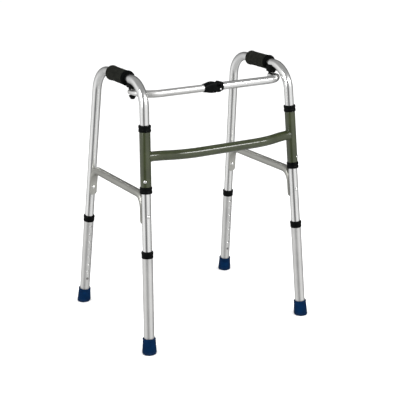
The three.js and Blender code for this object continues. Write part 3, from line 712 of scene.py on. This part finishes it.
weld_bead = bead_tree()
seats = {}
for hand, side in SIDES.items():
    up = CROSS_UP / cos(SPLAY) / cos(LEGS["front"][1])
    seats[hand] = leg_place(side, "front") @ Vector((0, 0, up)) / MM
bow_y = seats["left"].y - BOW
ahead = [seats["left"], seats["left"] + Vector((BOW_STRAIGHT, 0, 0)),
         Vector((seats["left"].x + BOW_RAMP, bow_y, seats["left"].z)),
         Vector((seats["right"].x - BOW_RAMP, bow_y, seats["left"].z)),
         seats["right"] - Vector((BOW_STRAIGHT, 0, 0)), seats["right"]]
crossbar = line_object("front_crossbar", [p * MM for p in bent(ahead, [150, 250, 250, 150])])
grown(crossbar, drawn_tube, Radius=CROSS_RADIUS * MM, Wall=CROSS_WALL * MM, Sides=48,
      Finish=olive_coat)
drilled(crossbar, *[bar_cutter(leg_place(side, "front"), SLEEVE_RADIUS - 0.5, 440, 640, sides=64)
                    for side in SIDES.values()])
smooth(crossbar)
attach(crossbar, "front_frame")
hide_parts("crossbar")

for hand, side in SIDES.items():
    leg = leg_place(side, "front")
    outline = [(SLEEVE_BORE, SLEEVE_LOW), (SLEEVE_RADIUS, SLEEVE_LOW),
               (SLEEVE_RADIUS, SLEEVE_HIGH), (SLEEVE_BORE, SLEEVE_HIGH)]
    barrel = turned(hand + "_hinge_sleeve", softened(outline, 0.55, 3), leg, olive_coat, 56)
    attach(barrel, "front_frame")
    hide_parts(hand + "_sleeve")

    # The bead follows the line where the crossbar's skin meets the sleeve's.
    inverse = leg.inverted()
    loop = []
    for k in range(BEAD_POINTS):
        a = 2 * pi * k / BEAD_POINTS
        y, z = CROSS_RADIUS * cos(a), CROSS_RADIUS * sin(a)
        start = inverse @ ((seats[hand] + Vector((0, y, z))) * MM)
        way = (inverse.to_3x3() @ Vector((-side, 0, 0))).normalized()
        b = start.x * way.x + start.y * way.y
        flat = way.x ** 2 + way.y ** 2
        c = start.x ** 2 + start.y ** 2 - SLEEVE_RADIUS ** 2
        reach = (-b + sqrt(max(b * b - flat * c, 0.0))) / flat
        loop.append(leg @ (start + way * (reach + 0.2)))
    bead = line_object(hand + "_weld_bead", loop, closed=True)
    grown(bead, weld_bead, Radius=BEAD_RADIUS * MM, Ripple=BEAD_RIPPLE, Pitch=BEAD_PITCH * MM,
          Sides=12, Finish=olive_coat)
    smooth(bead, 60)
    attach(bead, "front_frame")

# ==== Sleeve rivets ============================================================================
# A small bright blind rivet near the foot of each sleeve, facing forward and outward.

SLEEVE_RIVET_UP, SLEEVE_RIVET_TURN = 484.0, radians(35)
BLIND_SHANK, BLIND_HEAD, BLIND_DOME = 2.3, 4.4, 2.4
for hand, side in SIDES.items():
    leg = leg_place(side, "front")
    root, base = SLEEVE_BORE + 0.1, SLEEVE_RADIUS + 0.05
    outline = [(0, root), (BLIND_SHANK, root), (BLIND_SHANK, base)]
    outline += dome(BLIND_HEAD, base, BLIND_DOME)
    outline[-1] = (0, base + BLIND_DOME)
    shape = turned("rivet", outline, Matrix.Scale(MM, 4), bright_steel, 28)
    turn = side * SLEEVE_RIVET_TURN
    way = Vector((sin(turn), -cos(turn), 0))
    spot = (leg @ Vector((0, 0, SLEEVE_RIVET_UP)), leg.to_3x3() @ (way * 1000))
    rivet = fixed_at(hand + "_blind_rivet", [spot], shape, bright_steel)
    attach(rivet, "front_frame")
    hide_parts(hand + "_sleeve_rivet")

# ==== Stop collars =============================================================================
# Black nylon collars moulded with a shallow waist are pressed on each front leg, close above and
# below its sleeve. They carry the crossbar and let it turn.

COLLAR_RADIUS, COLLAR_TALL, COLLAR_GAP = 16.9, 17.5, 0.4


def moulded_nylon():
    made, tree, shader = finish_named("black_nylon", (0.0015, 0.0018, 0.0018), 0.0, 0.42,
                                      Specular_IOR_Level=0.05)
    place = object_place(tree)
    grain = noise(tree, place, 1400.0, 3.0)
    flow = noise(tree, place, 70.0, 3.0)
    surfaced(tree, shader, toned(tree, flow, (0.0010, 0.0013, 0.0013), (0.0022, 0.0027, 0.0026)),
             ranged(tree, flow, 0.36, 0.52), grain, 0.25, 0.00025)
    return made


black_nylon = moulded_nylon()
for hand, side in SIDES.items():
    for label, low in (("upper", SLEEVE_HIGH + COLLAR_GAP),
                       ("lower", SLEEVE_LOW - COLLAR_GAP - COLLAR_TALL)):
        r, high, core = COLLAR_RADIUS, low + COLLAR_TALL, TUBE_RADIUS + 0.2
        outline = [(core, low), (r - 0.3, low), (r, low + 1), (r, low + 6), (r - 0.7, low + 7.5),
                   (r - 0.7, high - 7.5), (r, high - 6), (r, high - 1), (r - 0.3, high),
                   (core, high)]
        collar = turned(f"{hand}_{label}_collar", softened(outline, 0.7, 3),
                        leg_place(side, "front"), black_nylon, 56)
        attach(collar, hand + "_side_frame")
        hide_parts(f"{hand}_{label}_stop_collar")

# ==== Leg extensions ===========================================================================
# A wider satin aluminium tube slides over each leg to set its height. Eight 7.4 mm holes, 25 mm
# apart, are punched up its inner face, and a nylon guide collar is pressed over its mouth.

EXT_RADIUS, EXT_BORE, EXT_LOW, EXT_HIGH = 14.4, 13.25, 9.0, 286.0
HOLE_RADIUS, HOLE_PITCH, HOLE_COUNT, DRILL_REACH = 3.7, 25.0, 8, 22.0
GUIDE_TALL, GUIDE_ABOVE, GUIDE_WALL = 18.5, 5.0, 2.2


# Every leg: its hand and its end, for the names, and where it stands.
def every_leg():
    return [(hand, end, leg_place(side, end)) for hand, side in SIDES.items() for end in LEGS]


# A row of equal drills up Z, each lying along +Y.
def drill_row_tree():
    tree, given = tree_with("row of drills", Count="Int", Pitch="Float", Radius="Float",
                            Reach="Float", Sides="Int", Finish="Material")
    step = via(tree, "ShaderNodeCombineXYZ", {"Z": given["Pitch"]})
    row = via(tree, "GeometryNodeMeshLine", {"Count": given["Count"], "Offset": step})
    drill = via(tree, "GeometryNodeMeshCylinder",
                {"Vertices": given["Sides"], "Radius": given["Radius"], "Depth": given["Reach"]})
    shift = via(tree, "ShaderNodeCombineXYZ", {"Y": product(tree, given["Reach"], 0.5)})
    laid = via(tree, "GeometryNodeTransform",
               {"Geometry": drill, "Rotation": (-pi / 2, 0, 0), "Translation": shift})
    copies = via(tree, "GeometryNodeInstanceOnPoints", {"Points": row, "Instance": laid})
    end_tree(tree, copies, given["Finish"])
    return tree


drill_row = drill_row_tree()


# Give a straight tube its true round shading, so that holes leave no facets round them.
def trued(made, place, angle=20):
    mesh, centre = made.data, place @ Vector((0, 0, 0))
    axis = (place.to_3x3() @ Vector((0, 0, 1))).normalized()
    normals = [None] * len(mesh.loops)
    limit = cos(radians(angle))
    for face in mesh.polygons:
        for index in face.loop_indices:
            p = mesh.vertices[mesh.loops[index].vertex_index].co - centre
            spoke = (p - axis * p.dot(axis)).normalized()
            lined = face.normal.dot(spoke)
            normals[index] = (spoke if lined > limit else -spoke if lined < -limit
                              else face.normal)
    mesh.normals_split_custom_set([tuple(n) for n in normals])
    return made


for hand, end, leg in every_leg():
    body = f"{hand}_{end}_extension"
    outline = [(EXT_BORE, EXT_LOW), (EXT_RADIUS, EXT_LOW), (EXT_RADIUS, EXT_HIGH),
               (EXT_BORE, EXT_HIGH)]
    outer = turned(f"{hand}_{end}_outer_tube", outline, leg, satin_aluminium, 72)
    row = line_object("drills", [Vector((0, 0, 0))])
    grown(row, drill_row, Count=HOLE_COUNT, Pitch=HOLE_PITCH, Radius=HOLE_RADIUS,
          Reach=DRILL_REACH, Sides=28, Finish=satin_aluminium)
    row.data.transform(leg @ Matrix.Translation((0, 0, BUTTON_UP)))
    drilled(outer, row)
    trued(outer, leg)
    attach(outer, body)
    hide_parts(f"{hand}_{end}_extension_tube")

    top, r = EXT_HIGH + GUIDE_ABOVE, EXT_RADIUS + GUIDE_WALL
    low = top - GUIDE_TALL
    outline = [(EXT_RADIUS + 0.1, low), (r - 0.6, low), (r - 0.5, low + 1),
               (r - 0.5, top - 7.5), (r, top - 6), (r, top - 2.2), (r - 1.6, top),
               (EXT_BORE, top), (EXT_BORE, EXT_HIGH + 0.2), (EXT_RADIUS + 0.1, EXT_HIGH + 0.2)]
    guide = turned(f"{hand}_{end}_guide_collar", softened(outline, 0.6, 3), leg, black_nylon,
                   56)
    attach(guide, body)
    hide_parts(f"{hand}_{end}_extension_collar")

# ==== Snap buttons =============================================================================
# A steel button, coloured dark grey, stands out through one of the height holes. A bent leaf spring
# inside the leg holds it out, and it is pressed in with a fingertip to change the height.

spring_steel = plated("spring_steel", (0.55, 0.56, 0.57), 0.3)
button_steel = plated("button_steel", (0.16, 0.155, 0.15), 0.28)
STEM, FLANGE, FLANGE_THICK, TIP_DOME = 3.0, 4.6, 1.4, 1.9
FLANGE_AT, TIP_AT = TUBE_RADIUS - TUBE_WALL - 1.9, EXT_RADIUS + 2.6


# A spring keeps the CAD's line.
def sprung(name, node, body):
    mesh = closed_up(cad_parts[node].data, name, 1e-6)
    mesh.materials.append(spring_steel)
    made = smooth(new_object(name, mesh), 30)
    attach(made, body)
    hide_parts(node)
    return made


for hand, end, leg in every_leg():
    back = FLANGE_AT - FLANGE_THICK
    outline = [(0, back), (FLANGE, back), (FLANGE, FLANGE_AT), (STEM, FLANGE_AT)]
    outline += dome(STEM, TIP_AT - TIP_DOME, TIP_DOME)
    outline[-1] = (0, TIP_AT)
    lay = Matrix.Translation((0, 0, BUTTON_UP)) @ Matrix.Rotation(-pi / 2, 4, "X")
    button = turned(f"{hand}_{end}_button", outline, leg @ lay, button_steel, 32)
    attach(button, f"{hand}_{end}_button")
    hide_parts(f"{hand}_{end}_snap_button")
    spring = sprung(f"{hand}_{end}_leaf_spring", f"{hand}_{end}_snap_spring",
                    hand + "_side_frame")
    way = (leg @ Vector((0, 1, 0)) - leg @ Vector()).normalized()
    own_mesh(spring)

# ==== Rubber ferrules ==========================================================================
# Navy blue rubber ferrules are pushed over the ends of the legs. Each widens to a flared, rounded
# base, has a rolled rim at its mouth, and stands level on a ringed tread although the leg leans.

FERRULE_TALL, FERRULE_TOP, FERRULE_BASE = 44.0, 18.0, 20.2


def navy_rubber():
    made, tree, shader = finish_named("navy_rubber", (0.0003, 0.011, 0.040), 0.0, 0.5,
                                      Specular_IOR_Level=0.03)
    place = object_place(tree)
    cloud = noise(tree, place, 60.0, 5.0)
    grain = noise(tree, place, 1100.0, 3.0)
    height = add(tree, "ShaderNodeSeparateXYZ", {"Vector": place}).outputs["Z"]
    # A little dust clings near the floor.
    dust = product(tree, ranged(tree, height, 1.0, 0.0, 0.001, 0.012),
                   ranged(tree, cloud, 0.0, 0.5))
    blue = toned(tree, cloud, (0.0002, 0.0082, 0.030), (0.0004, 0.0145, 0.052))
    surfaced(tree, shader, mingled(tree, dust, blue, (0.02, 0.028, 0.045)),
             ranged(tree, cloud, 0.42, 0.62),
             summed(tree, grain, product(tree, cloud, 0.6)), 0.25, 0.0003)
    return made


blue_rubber = navy_rubber()
for hand, end, leg in every_leg():
    down = (leg.inverted().to_3x3() @ Vector((0, 0, 1))).normalized()
    b, t = FERRULE_BASE, FERRULE_TOP
    outline = [(0, 1.2), (4, 1.2), (5, 0), (8, 0), (9, 1.2), (12, 1.2), (13, 0), (15.5, 0),
               (16.4, 1.0), (16.9, 1.0), (17.6, 0), (b - 1.8, 0.3), (b - 0.6, 1.2),
               (b - 0.1, 2.6), (b, 4.2), (b - 0.1, 8.2), (b - 0.7, 8.7), (b - 0.7, 9.3),
               (b - 0.35, 9.9), (b - 0.8, 16), (t + 0.9, 24), (t + 0.3, 34), (t, FERRULE_TALL - 4),
               (t + 0.5, FERRULE_TALL - 3), (t + 0.5, FERRULE_TALL - 1.4),
               (t - 0.4, FERRULE_TALL), (EXT_RADIUS + 0.1, FERRULE_TALL),
               (EXT_RADIUS + 0.1, EXT_LOW - 0.2), (0, EXT_LOW - 0.2)]

    # Rings near the floor lie level, and those higher up lie square to the leg.
    def levelled(r, z, a):
        tilt = down.lerp(Vector((0, 0, 1)), eased(0, 1, (z - 8.0) / 14.0)).normalized()
        if r <= EXT_RADIUS + 0.2 and z > 5:
            tilt = Vector((0, 0, 1))
        u = Vector((1, 0, 0)) - tilt * tilt.x
        u.normalize()
        return Vector((0, 0, z)) + u * (r * cos(a)) + tilt.cross(u) * (r * sin(a))

    ferrule = turned(f"{hand}_{end}_ferrule", outline, leg, blue_rubber, 56, levelled, 38)
    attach(ferrule, f"{hand}_{end}_extension")
    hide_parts(f"{hand}_{end}_foot")

# ==== Top bar brackets =========================================================================
# Under each handle, just in front of the grip, a black nylon block is saddled to the tube. A plated
# bolt goes down through it and the top bar's eye into a tapered cap nut, and the bar swings on it.

BAR_HEIGHT, BAR_Y, PIVOT_Y, PIVOT_INSET = 705.0, -147.0, -90.0, 4.0
EYE_WIDE, EYE_HIGH, PIVOT_GAP = 12.0, 7.0, 1.3
BOLT_RADIUS, BOLT_HOLE, BOLT_LOW, BOLT_HIGH, CAP_LOW = 4, 4.3, -12.5, 17.0, -19.0
BLOCK_WIDE, BLOCK_DEEP, BOSS_RADIUS = 12.5, 11.5, 10.5


def pivot_place(side):
    lift = Matrix.Translation((-side * PIVOT_INSET, PIVOT_Y, BAR_HEIGHT / cos(SPLAY)))
    return side_place(side) @ lift @ Matrix.Rotation(-LEGS["front"][1], 4, "X")


# A block between two corners with its edges rounded, in a place's own millimetres.
def rounded_block(name, low, high, radius, place, finish, segments=4):
    shape = bmesh.new()
    bmesh.ops.create_cube(shape, size=1)
    size = Vector(high) - Vector(low)
    shape.transform(Matrix.Diagonal((*size, 1)))
    shape.transform(Matrix.Translation((Vector(high) + Vector(low)) / 2))
    bmesh.ops.bevel(shape, geom=shape.edges[:], offset=radius, segments=segments, profile=0.5,
                    affect="EDGES")
    mesh = freed(name, shape)
    note = mesh.attributes.new("drawn", "FLOAT_VECTOR", "POINT")
    note.data.foreach_set("vector", [c * MM for v in mesh.vertices for c in v.co])
    mesh.transform(place)
    mesh.materials.append(finish)
    return smooth(new_object(name, mesh))


def united(made, *others):
    return combined(made, others, "UNION")


for hand, side in SIDES.items():
    pivot, body = pivot_place(side), hand + "_side_frame"
    low, high = EYE_HIGH + 5, TOP_HEIGHT - BAR_HEIGHT - 3
    block = rounded_block(hand + "_bracket_block", (-BLOCK_WIDE, -BLOCK_DEEP, low),
                          (BLOCK_WIDE, BLOCK_DEEP, high), 2.6, pivot, black_nylon)
    outline = [(0, EYE_HIGH + PIVOT_GAP), (BOSS_RADIUS, EYE_HIGH + PIVOT_GAP),
               (BOSS_RADIUS, low + 3), (0, low + 3)]
    boss = turned("boss", softened(outline, 0.8), pivot, black_nylon, 48)
    united(block, boss)
    handle = line_object("handle", [side_place(side) @ p for p in side_line()])
    grown(handle, weld_bead, Radius=(TUBE_RADIUS + 0.3) * MM, Ripple=0.0, Pitch=1.0, Sides=48,
          Finish=black_nylon)
    drilled(block, handle, bar_cutter(pivot, BOLT_HOLE, 0, BOLT_HIGH + 0.5))
    smooth(block)
    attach(block, body)
    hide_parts(hand + "_bar_bracket")

    outline = [(0, BOLT_LOW), (BOLT_RADIUS, BOLT_LOW), (BOLT_RADIUS, BOLT_HIGH), (0, BOLT_HIGH)]
    bolt = turned(hand + "_bracket_bolt", softened(outline, 0.5, 3), pivot, bright_steel, 32)
    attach(bolt, body)
    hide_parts(hand + "_pivot_bolt")

    top = -EYE_HIGH - PIVOT_GAP
    outline = [(0, CAP_LOW), (4.5, CAP_LOW), (6, CAP_LOW + 1.5), (9.6, top - 3), (10, top - 2),
               (10, top), (BOLT_HOLE, top), (BOLT_HOLE, BOLT_LOW - 0.4), (0, BOLT_LOW - 0.4)]
    # Ten shallow flutes for the fingers run down the cap's taper.
    fluted = lambda r, z, a: spun(
        r - (0.45 * max(0.0, cos(10 * a)) if r > 5.2 and z < top - 3.5 else 0), z, a)
    cap = turned(hand + "_cap_nut", softened(outline, 0.8, 3), pivot, black_nylon, 80, fluted, 40)
    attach(cap, body)
    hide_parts(hand + "_pivot_cap")

# ==== Top bar halves ===========================================================================
# The top bar is two aluminium tubes that meet at a catch in the middle. Each bends back at its
# outer end, where it is pressed into a flat eye for the bracket bolt. The left tube is the thinner.

EYE_OVERHANG, TOP_BEND, TOP_WALL = 14.0, 55.0, 1.4
LEFT_BAR, LEFT_BAR_END, RIGHT_BAR, RIGHT_BAR_END = 10.0, -25.0, 11.0, 12.0
for hand, side, radius, inner, finish, coat in (
        ("left", -1, LEFT_BAR, LEFT_BAR_END, satin_aluminium, "satin_tube"),
        ("right", 1, RIGHT_BAR, RIGHT_BAR_END, polished_aluminium, "polished_tube")):
    bolt = pivot_place(side) @ Vector((0, 0, 0)) / MM
    line = bent([Vector((bolt.x, bolt.y + EYE_OVERHANG - 1, BAR_HEIGHT)),
                 Vector((bolt.x, BAR_Y, BAR_HEIGHT)), Vector((inner, BAR_Y, BAR_HEIGHT))],
                [TOP_BEND])

    def eyed(s, total):
        t = (s - 20.0) / 34.0
        nose = max(0.25, sqrt(max(0.0, 1 - (1 - min(s / 9.0, 1.0)) ** 2)))
        soft = max(0.55, sqrt(max(0.0, 1 - (1 - min(s / 4.0, 1.0)) ** 2)))
        return (eased(EYE_HIGH, radius, t) * soft, eased(EYE_WIDE, radius, t) * nose,
                eased(2.6, 2.0, t))

    tube = shaped_tube(hand + "_bar_tube", line, Vector((0, 0, 1)), eyed, TOP_WALL,
                       Matrix.Scale(MM, 4), finish)
    drilled(tube, bar_cutter(pivot_place(side), BOLT_HOLE, -30, 30))
    smooth(tube, 40)
    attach(tube, hand + "_half_bar")
    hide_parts(hand + "_top_bar")

# ==== Centre catch =============================================================================
# Two black nylon mouldings lock the top bar when the walker is open. The left one tapers out from
# the tube and has a flat tongue, and the right one is a short knuckle with a slot for it and a
# bright sprung button. Their ends slant apart to the rear, so that either half can swing back.

HOUSING_LEFT, HOUSING_RIGHT, HOUSING_HIGH, HOUSING_DEEP = -39.5, -2.0, 11.8, 13.0
KNUCKLE_LEFT, KNUCKLE_RIGHT, KNUCKLE_HIGH, KNUCKLE_END_HIGH = -1.0, 19.6, 15.0, 12.8
TONGUE_LOW, TONGUE_HIGH, TONGUE_RADIUS, TONGUE_TIP, SLOT_END = 2.5, 9.5, 8.5, 3.5, 9.5
BUTTON_X, BUTTON_DROP, BUTTON_RADIUS = 7.4, -4.6, 2.8
PARTING_SLOPE = 0.28

middle = Matrix.Scale(MM, 4) @ Matrix.Translation((0, BAR_Y, BAR_HEIGHT))


# Both mouldings are lofted from rounded sections: round where they take the tube, and square
# where they meet. section(dx) gives half height, half depth, squareness and share of the slant.
def lofted(name, left, run, section, sides=56):
    points, faces = [], []
    for dx, swell in run:
        high, deep, square, slant = section(dx)
        for k in range(sides):
            y, z = squared(2 * pi * k / sides, square)
            y, z = y * deep * swell, z * high * swell
            points.append(Vector((left + dx + slant * PARTING_SLOPE * (y + HOUSING_DEEP), y, z)))
    for i in range(len(run) - 1):
        faces += band(i * sides, (i + 1) * sides, sides)
    faces += [list(range(sides)), list(range((len(run) - 1) * sides, len(run) * sides))]
    return piece_object(name, points, faces, middle, black_nylon, 40)


def housing_section(dx):
    t = dx / (HOUSING_RIGHT - HOUSING_LEFT)
    return (eased(HOUSING_HIGH, KNUCKLE_HIGH, t / 0.66), HOUSING_DEEP * eased(0.95, 1.0, t),
            eased(2.2, 4.6, t / 0.7), -max(0.0, 2 * t - 1))


def knuckle_section(dx):
    t = dx / (KNUCKLE_RIGHT - KNUCKLE_LEFT)
    return (eased(KNUCKLE_HIGH, KNUCKLE_END_HIGH, (t - 0.35) / 0.65), HOUSING_DEEP,
            eased(4.6, 2.4, (t - 0.2) / 0.7), max(0.0, 1 - 1.6 * t))


run = [(0.0, 0.93), (0.4, 0.965), (1.4, 0.99), (3, 1.0), (7, 1.0), (11, 1.0), (15, 1.0), (19, 1.0),
       (23, 1.0), (27, 1.0), (31, 1.0), (34, 1.0), (36.3, 0.99), (37.1, 0.965), (37.5, 0.92)]
housing = lofted("catch_housing", HOUSING_LEFT, run, housing_section)
tip = TONGUE_TIP - TONGUE_RADIUS
tongue = rounded_block("tongue", (HOUSING_RIGHT - 12, -TONGUE_RADIUS, TONGUE_LOW),
                       (tip, TONGUE_RADIUS, TONGUE_HIGH), 0.3, middle, black_nylon, 2)
nose = bar_cutter(middle, TONGUE_RADIUS - 0.02, TONGUE_LOW + 0.01, TONGUE_HIGH - 0.01,
                  (tip, 0, 0), "Z", 48)
united(housing, tongue, nose)
drilled(housing, bar_cutter(middle, LEFT_BAR + 0.1, -60, LEFT_BAR_END + 0.1, along="X", sides=56))
smooth(housing, 40)
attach(housing, "left_half_bar")
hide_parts("catch_wedge")

run = [(0.0, 0.92), (0.4, 0.965), (1.2, 0.99), (2.8, 1.0), (5.2, 1.0), (8, 1.0), (11, 1.0),
       (14, 1.0), (17, 0.99), (19, 0.975), (20.1, 0.955), (20.6, 0.92)]
knuckle = lofted("catch_knuckle_body", KNUCKLE_LEFT, run, knuckle_section)
slot = rounded_block("slot", (-30, -30, TONGUE_LOW - 0.5), (SLOT_END, 30, TONGUE_HIGH + 0.5), 0.2,
                     middle, black_nylon, 1)
drilled(knuckle, slot, bar_cutter(middle, BUTTON_RADIUS + 0.3, -30, 4,
                                  (BUTTON_X, 0, BUTTON_DROP), "Y", 40),
        bar_cutter(middle, RIGHT_BAR + 0.1, RIGHT_BAR_END - 0.1, 40, along="X", sides=56))
smooth(knuckle, 36)
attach(knuckle, "right_half_bar")
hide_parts("catch_knuckle")

outline = [(0, -16.2), (BUTTON_RADIUS, -16.2), (BUTTON_RADIUS, -6), (0, -6)]
button = turned("catch_button", softened(outline, 1.1), middle @ Matrix.Translation(
    (BUTTON_X, 0, BUTTON_DROP)) @ Matrix.Rotation(-pi / 2, 4, "X"), bright_steel, 40)
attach(button, "release")
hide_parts("release_button")
coil = sprung("catch_spring", "release_spring", "right_half_bar")
low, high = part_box("release_spring")
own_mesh(coil)

# ==== Studio ===================================================================================
# A plain white floor in an even white room. Two broad soft lamps stand left and right of the
# camera, and a long narrow one puts a streak of light on the paint. What shines on the metal is a
# ring of bright and darker screens round the room, with a darker ceiling.

mesh = bpy.data.meshes.new("floor")
mesh.from_pydata([(-30, -30, -0.0005), (30, -30, -0.0005), (30, 30, -0.0005), (-30, 30, -0.0005)],
                 [], [(0, 1, 2, 3)])
floor = new_object("floor", mesh)
floor_paint = finish_named("floor_paint", (0.93, 0.93, 0.93), 0.0, 0.9,
                           Specular_IOR_Level=0.1)[0]
mesh.materials.append(floor_paint)
floor.visible_glossy = False

VIEWPOINT = Vector((-1.4441, -2.5038, 1.2630))
LOOK = Vector((0.4854, 0.8194, -0.3049)).normalized()
ROLL = radians(-0.27)
lens = bpy.data.cameras.new("camera")
lens.sensor_width = 36.0
lens.lens = 92.18
camera = new_object("camera", lens)
camera.rotation_mode = "QUATERNION"
camera.location = VIEWPOINT
camera.rotation_quaternion = (LOOK.to_track_quat("-Z", "Y").to_matrix()
                              @ Matrix.Rotation(ROLL, 3, "Z")).to_quaternion()
bpy.context.scene.camera = camera


def lamp(name, place, target, size, power):
    light = bpy.data.lights.new(name, "AREA")
    light.shape, light.size, light.size_y, light.energy = "RECTANGLE", size[0], size[1], power
    made = new_object(name, light)
    made.location = place
    way = Vector(target) - Vector(place)
    made.rotation_mode = "QUATERNION"
    made.rotation_quaternion = way.to_track_quat("-Z", "Y")
    return made


lamp("left_lamp", (-3.2, -1.0, 2.2), (0, 0, 0.4), (1.2, 2.4), 70)
lamp("right_lamp", (1.6, -3.4, 2.6), (0, 0, 0.4), (1.2, 2.0), 14)
lamp("strip_lamp", (1.8, -2.7, 2.35), (1.8, -0.15, 0.6), (3.4, 0.34), 85)

room = bpy.data.worlds.new("room")
bpy.context.scene.world = room
room.use_nodes = True
tree = room.node_tree
even = tree.nodes["Background"]
even.inputs["Color"].default_value = (1, 1, 1, 1)
even.inputs["Strength"].default_value = 1.12
way = add(tree, "ShaderNodeTexCoord").outputs["Generated"]
parts = add(tree, "ShaderNodeSeparateXYZ", {"Vector": way})
turn = via(tree, "ShaderNodeMath", {0: parts.outputs["Y"], 1: parts.outputs["X"]},
           operation="ARCTAN2")
behind_camera = atan2(-LOOK.y, -LOOK.x) - radians(13)
swing = via(tree, "ShaderNodeMath", {0: summed(tree, turn, -behind_camera)}, operation="COSINE")
screens = add(tree, "ShaderNodeValToRGB", {0: ranged(tree, swing, 0.0, 1.0, -1.0, 1.0)})
ring = [(0.0, 0.10), (0.12, 0.22), (0.30, 0.56), (0.50, 0.88), (0.76, 1.0), (0.92, 0.90),
        (0.975, 0.36), (1.0, 0.16)]
while len(screens.color_ramp.elements) < len(ring):
    screens.color_ramp.elements.new(0.5)
for element, (at, bright) in zip(screens.color_ramp.elements, ring):
    element.position = at
    element.color = (bright, bright, bright, 1)
# Low down and then overhead, the ring gives way to one even brightness.
shine = screens.outputs[0]
for start, end, bright in ((-0.4, -0.85, 0.62), (0.45, 0.8, 0.34)):
    share = via(tree, "ShaderNodeMapRange", {"Value": parts.outputs["Z"], "From Min": start,
                                             "From Max": end}, interpolation_type="SMOOTHSTEP")
    shine = via(tree, "ShaderNodeMix", {"Factor": share, 2: shine, 3: bright},
                data_type="FLOAT")
mirrored = via(tree, "ShaderNodeBackground", {"Strength": product(tree, shine, 1.22)})
kind = add(tree, "ShaderNodeLightPath")
chosen = via(tree, "ShaderNodeMixShader", {0: kind.outputs["Is Glossy Ray"],
                                           1: even.outputs[0], 2: mirrored})
tree.links.new(chosen, tree.nodes["World Output"].inputs[0])
bpy.context.scene.view_settings.view_transform = "Standard"
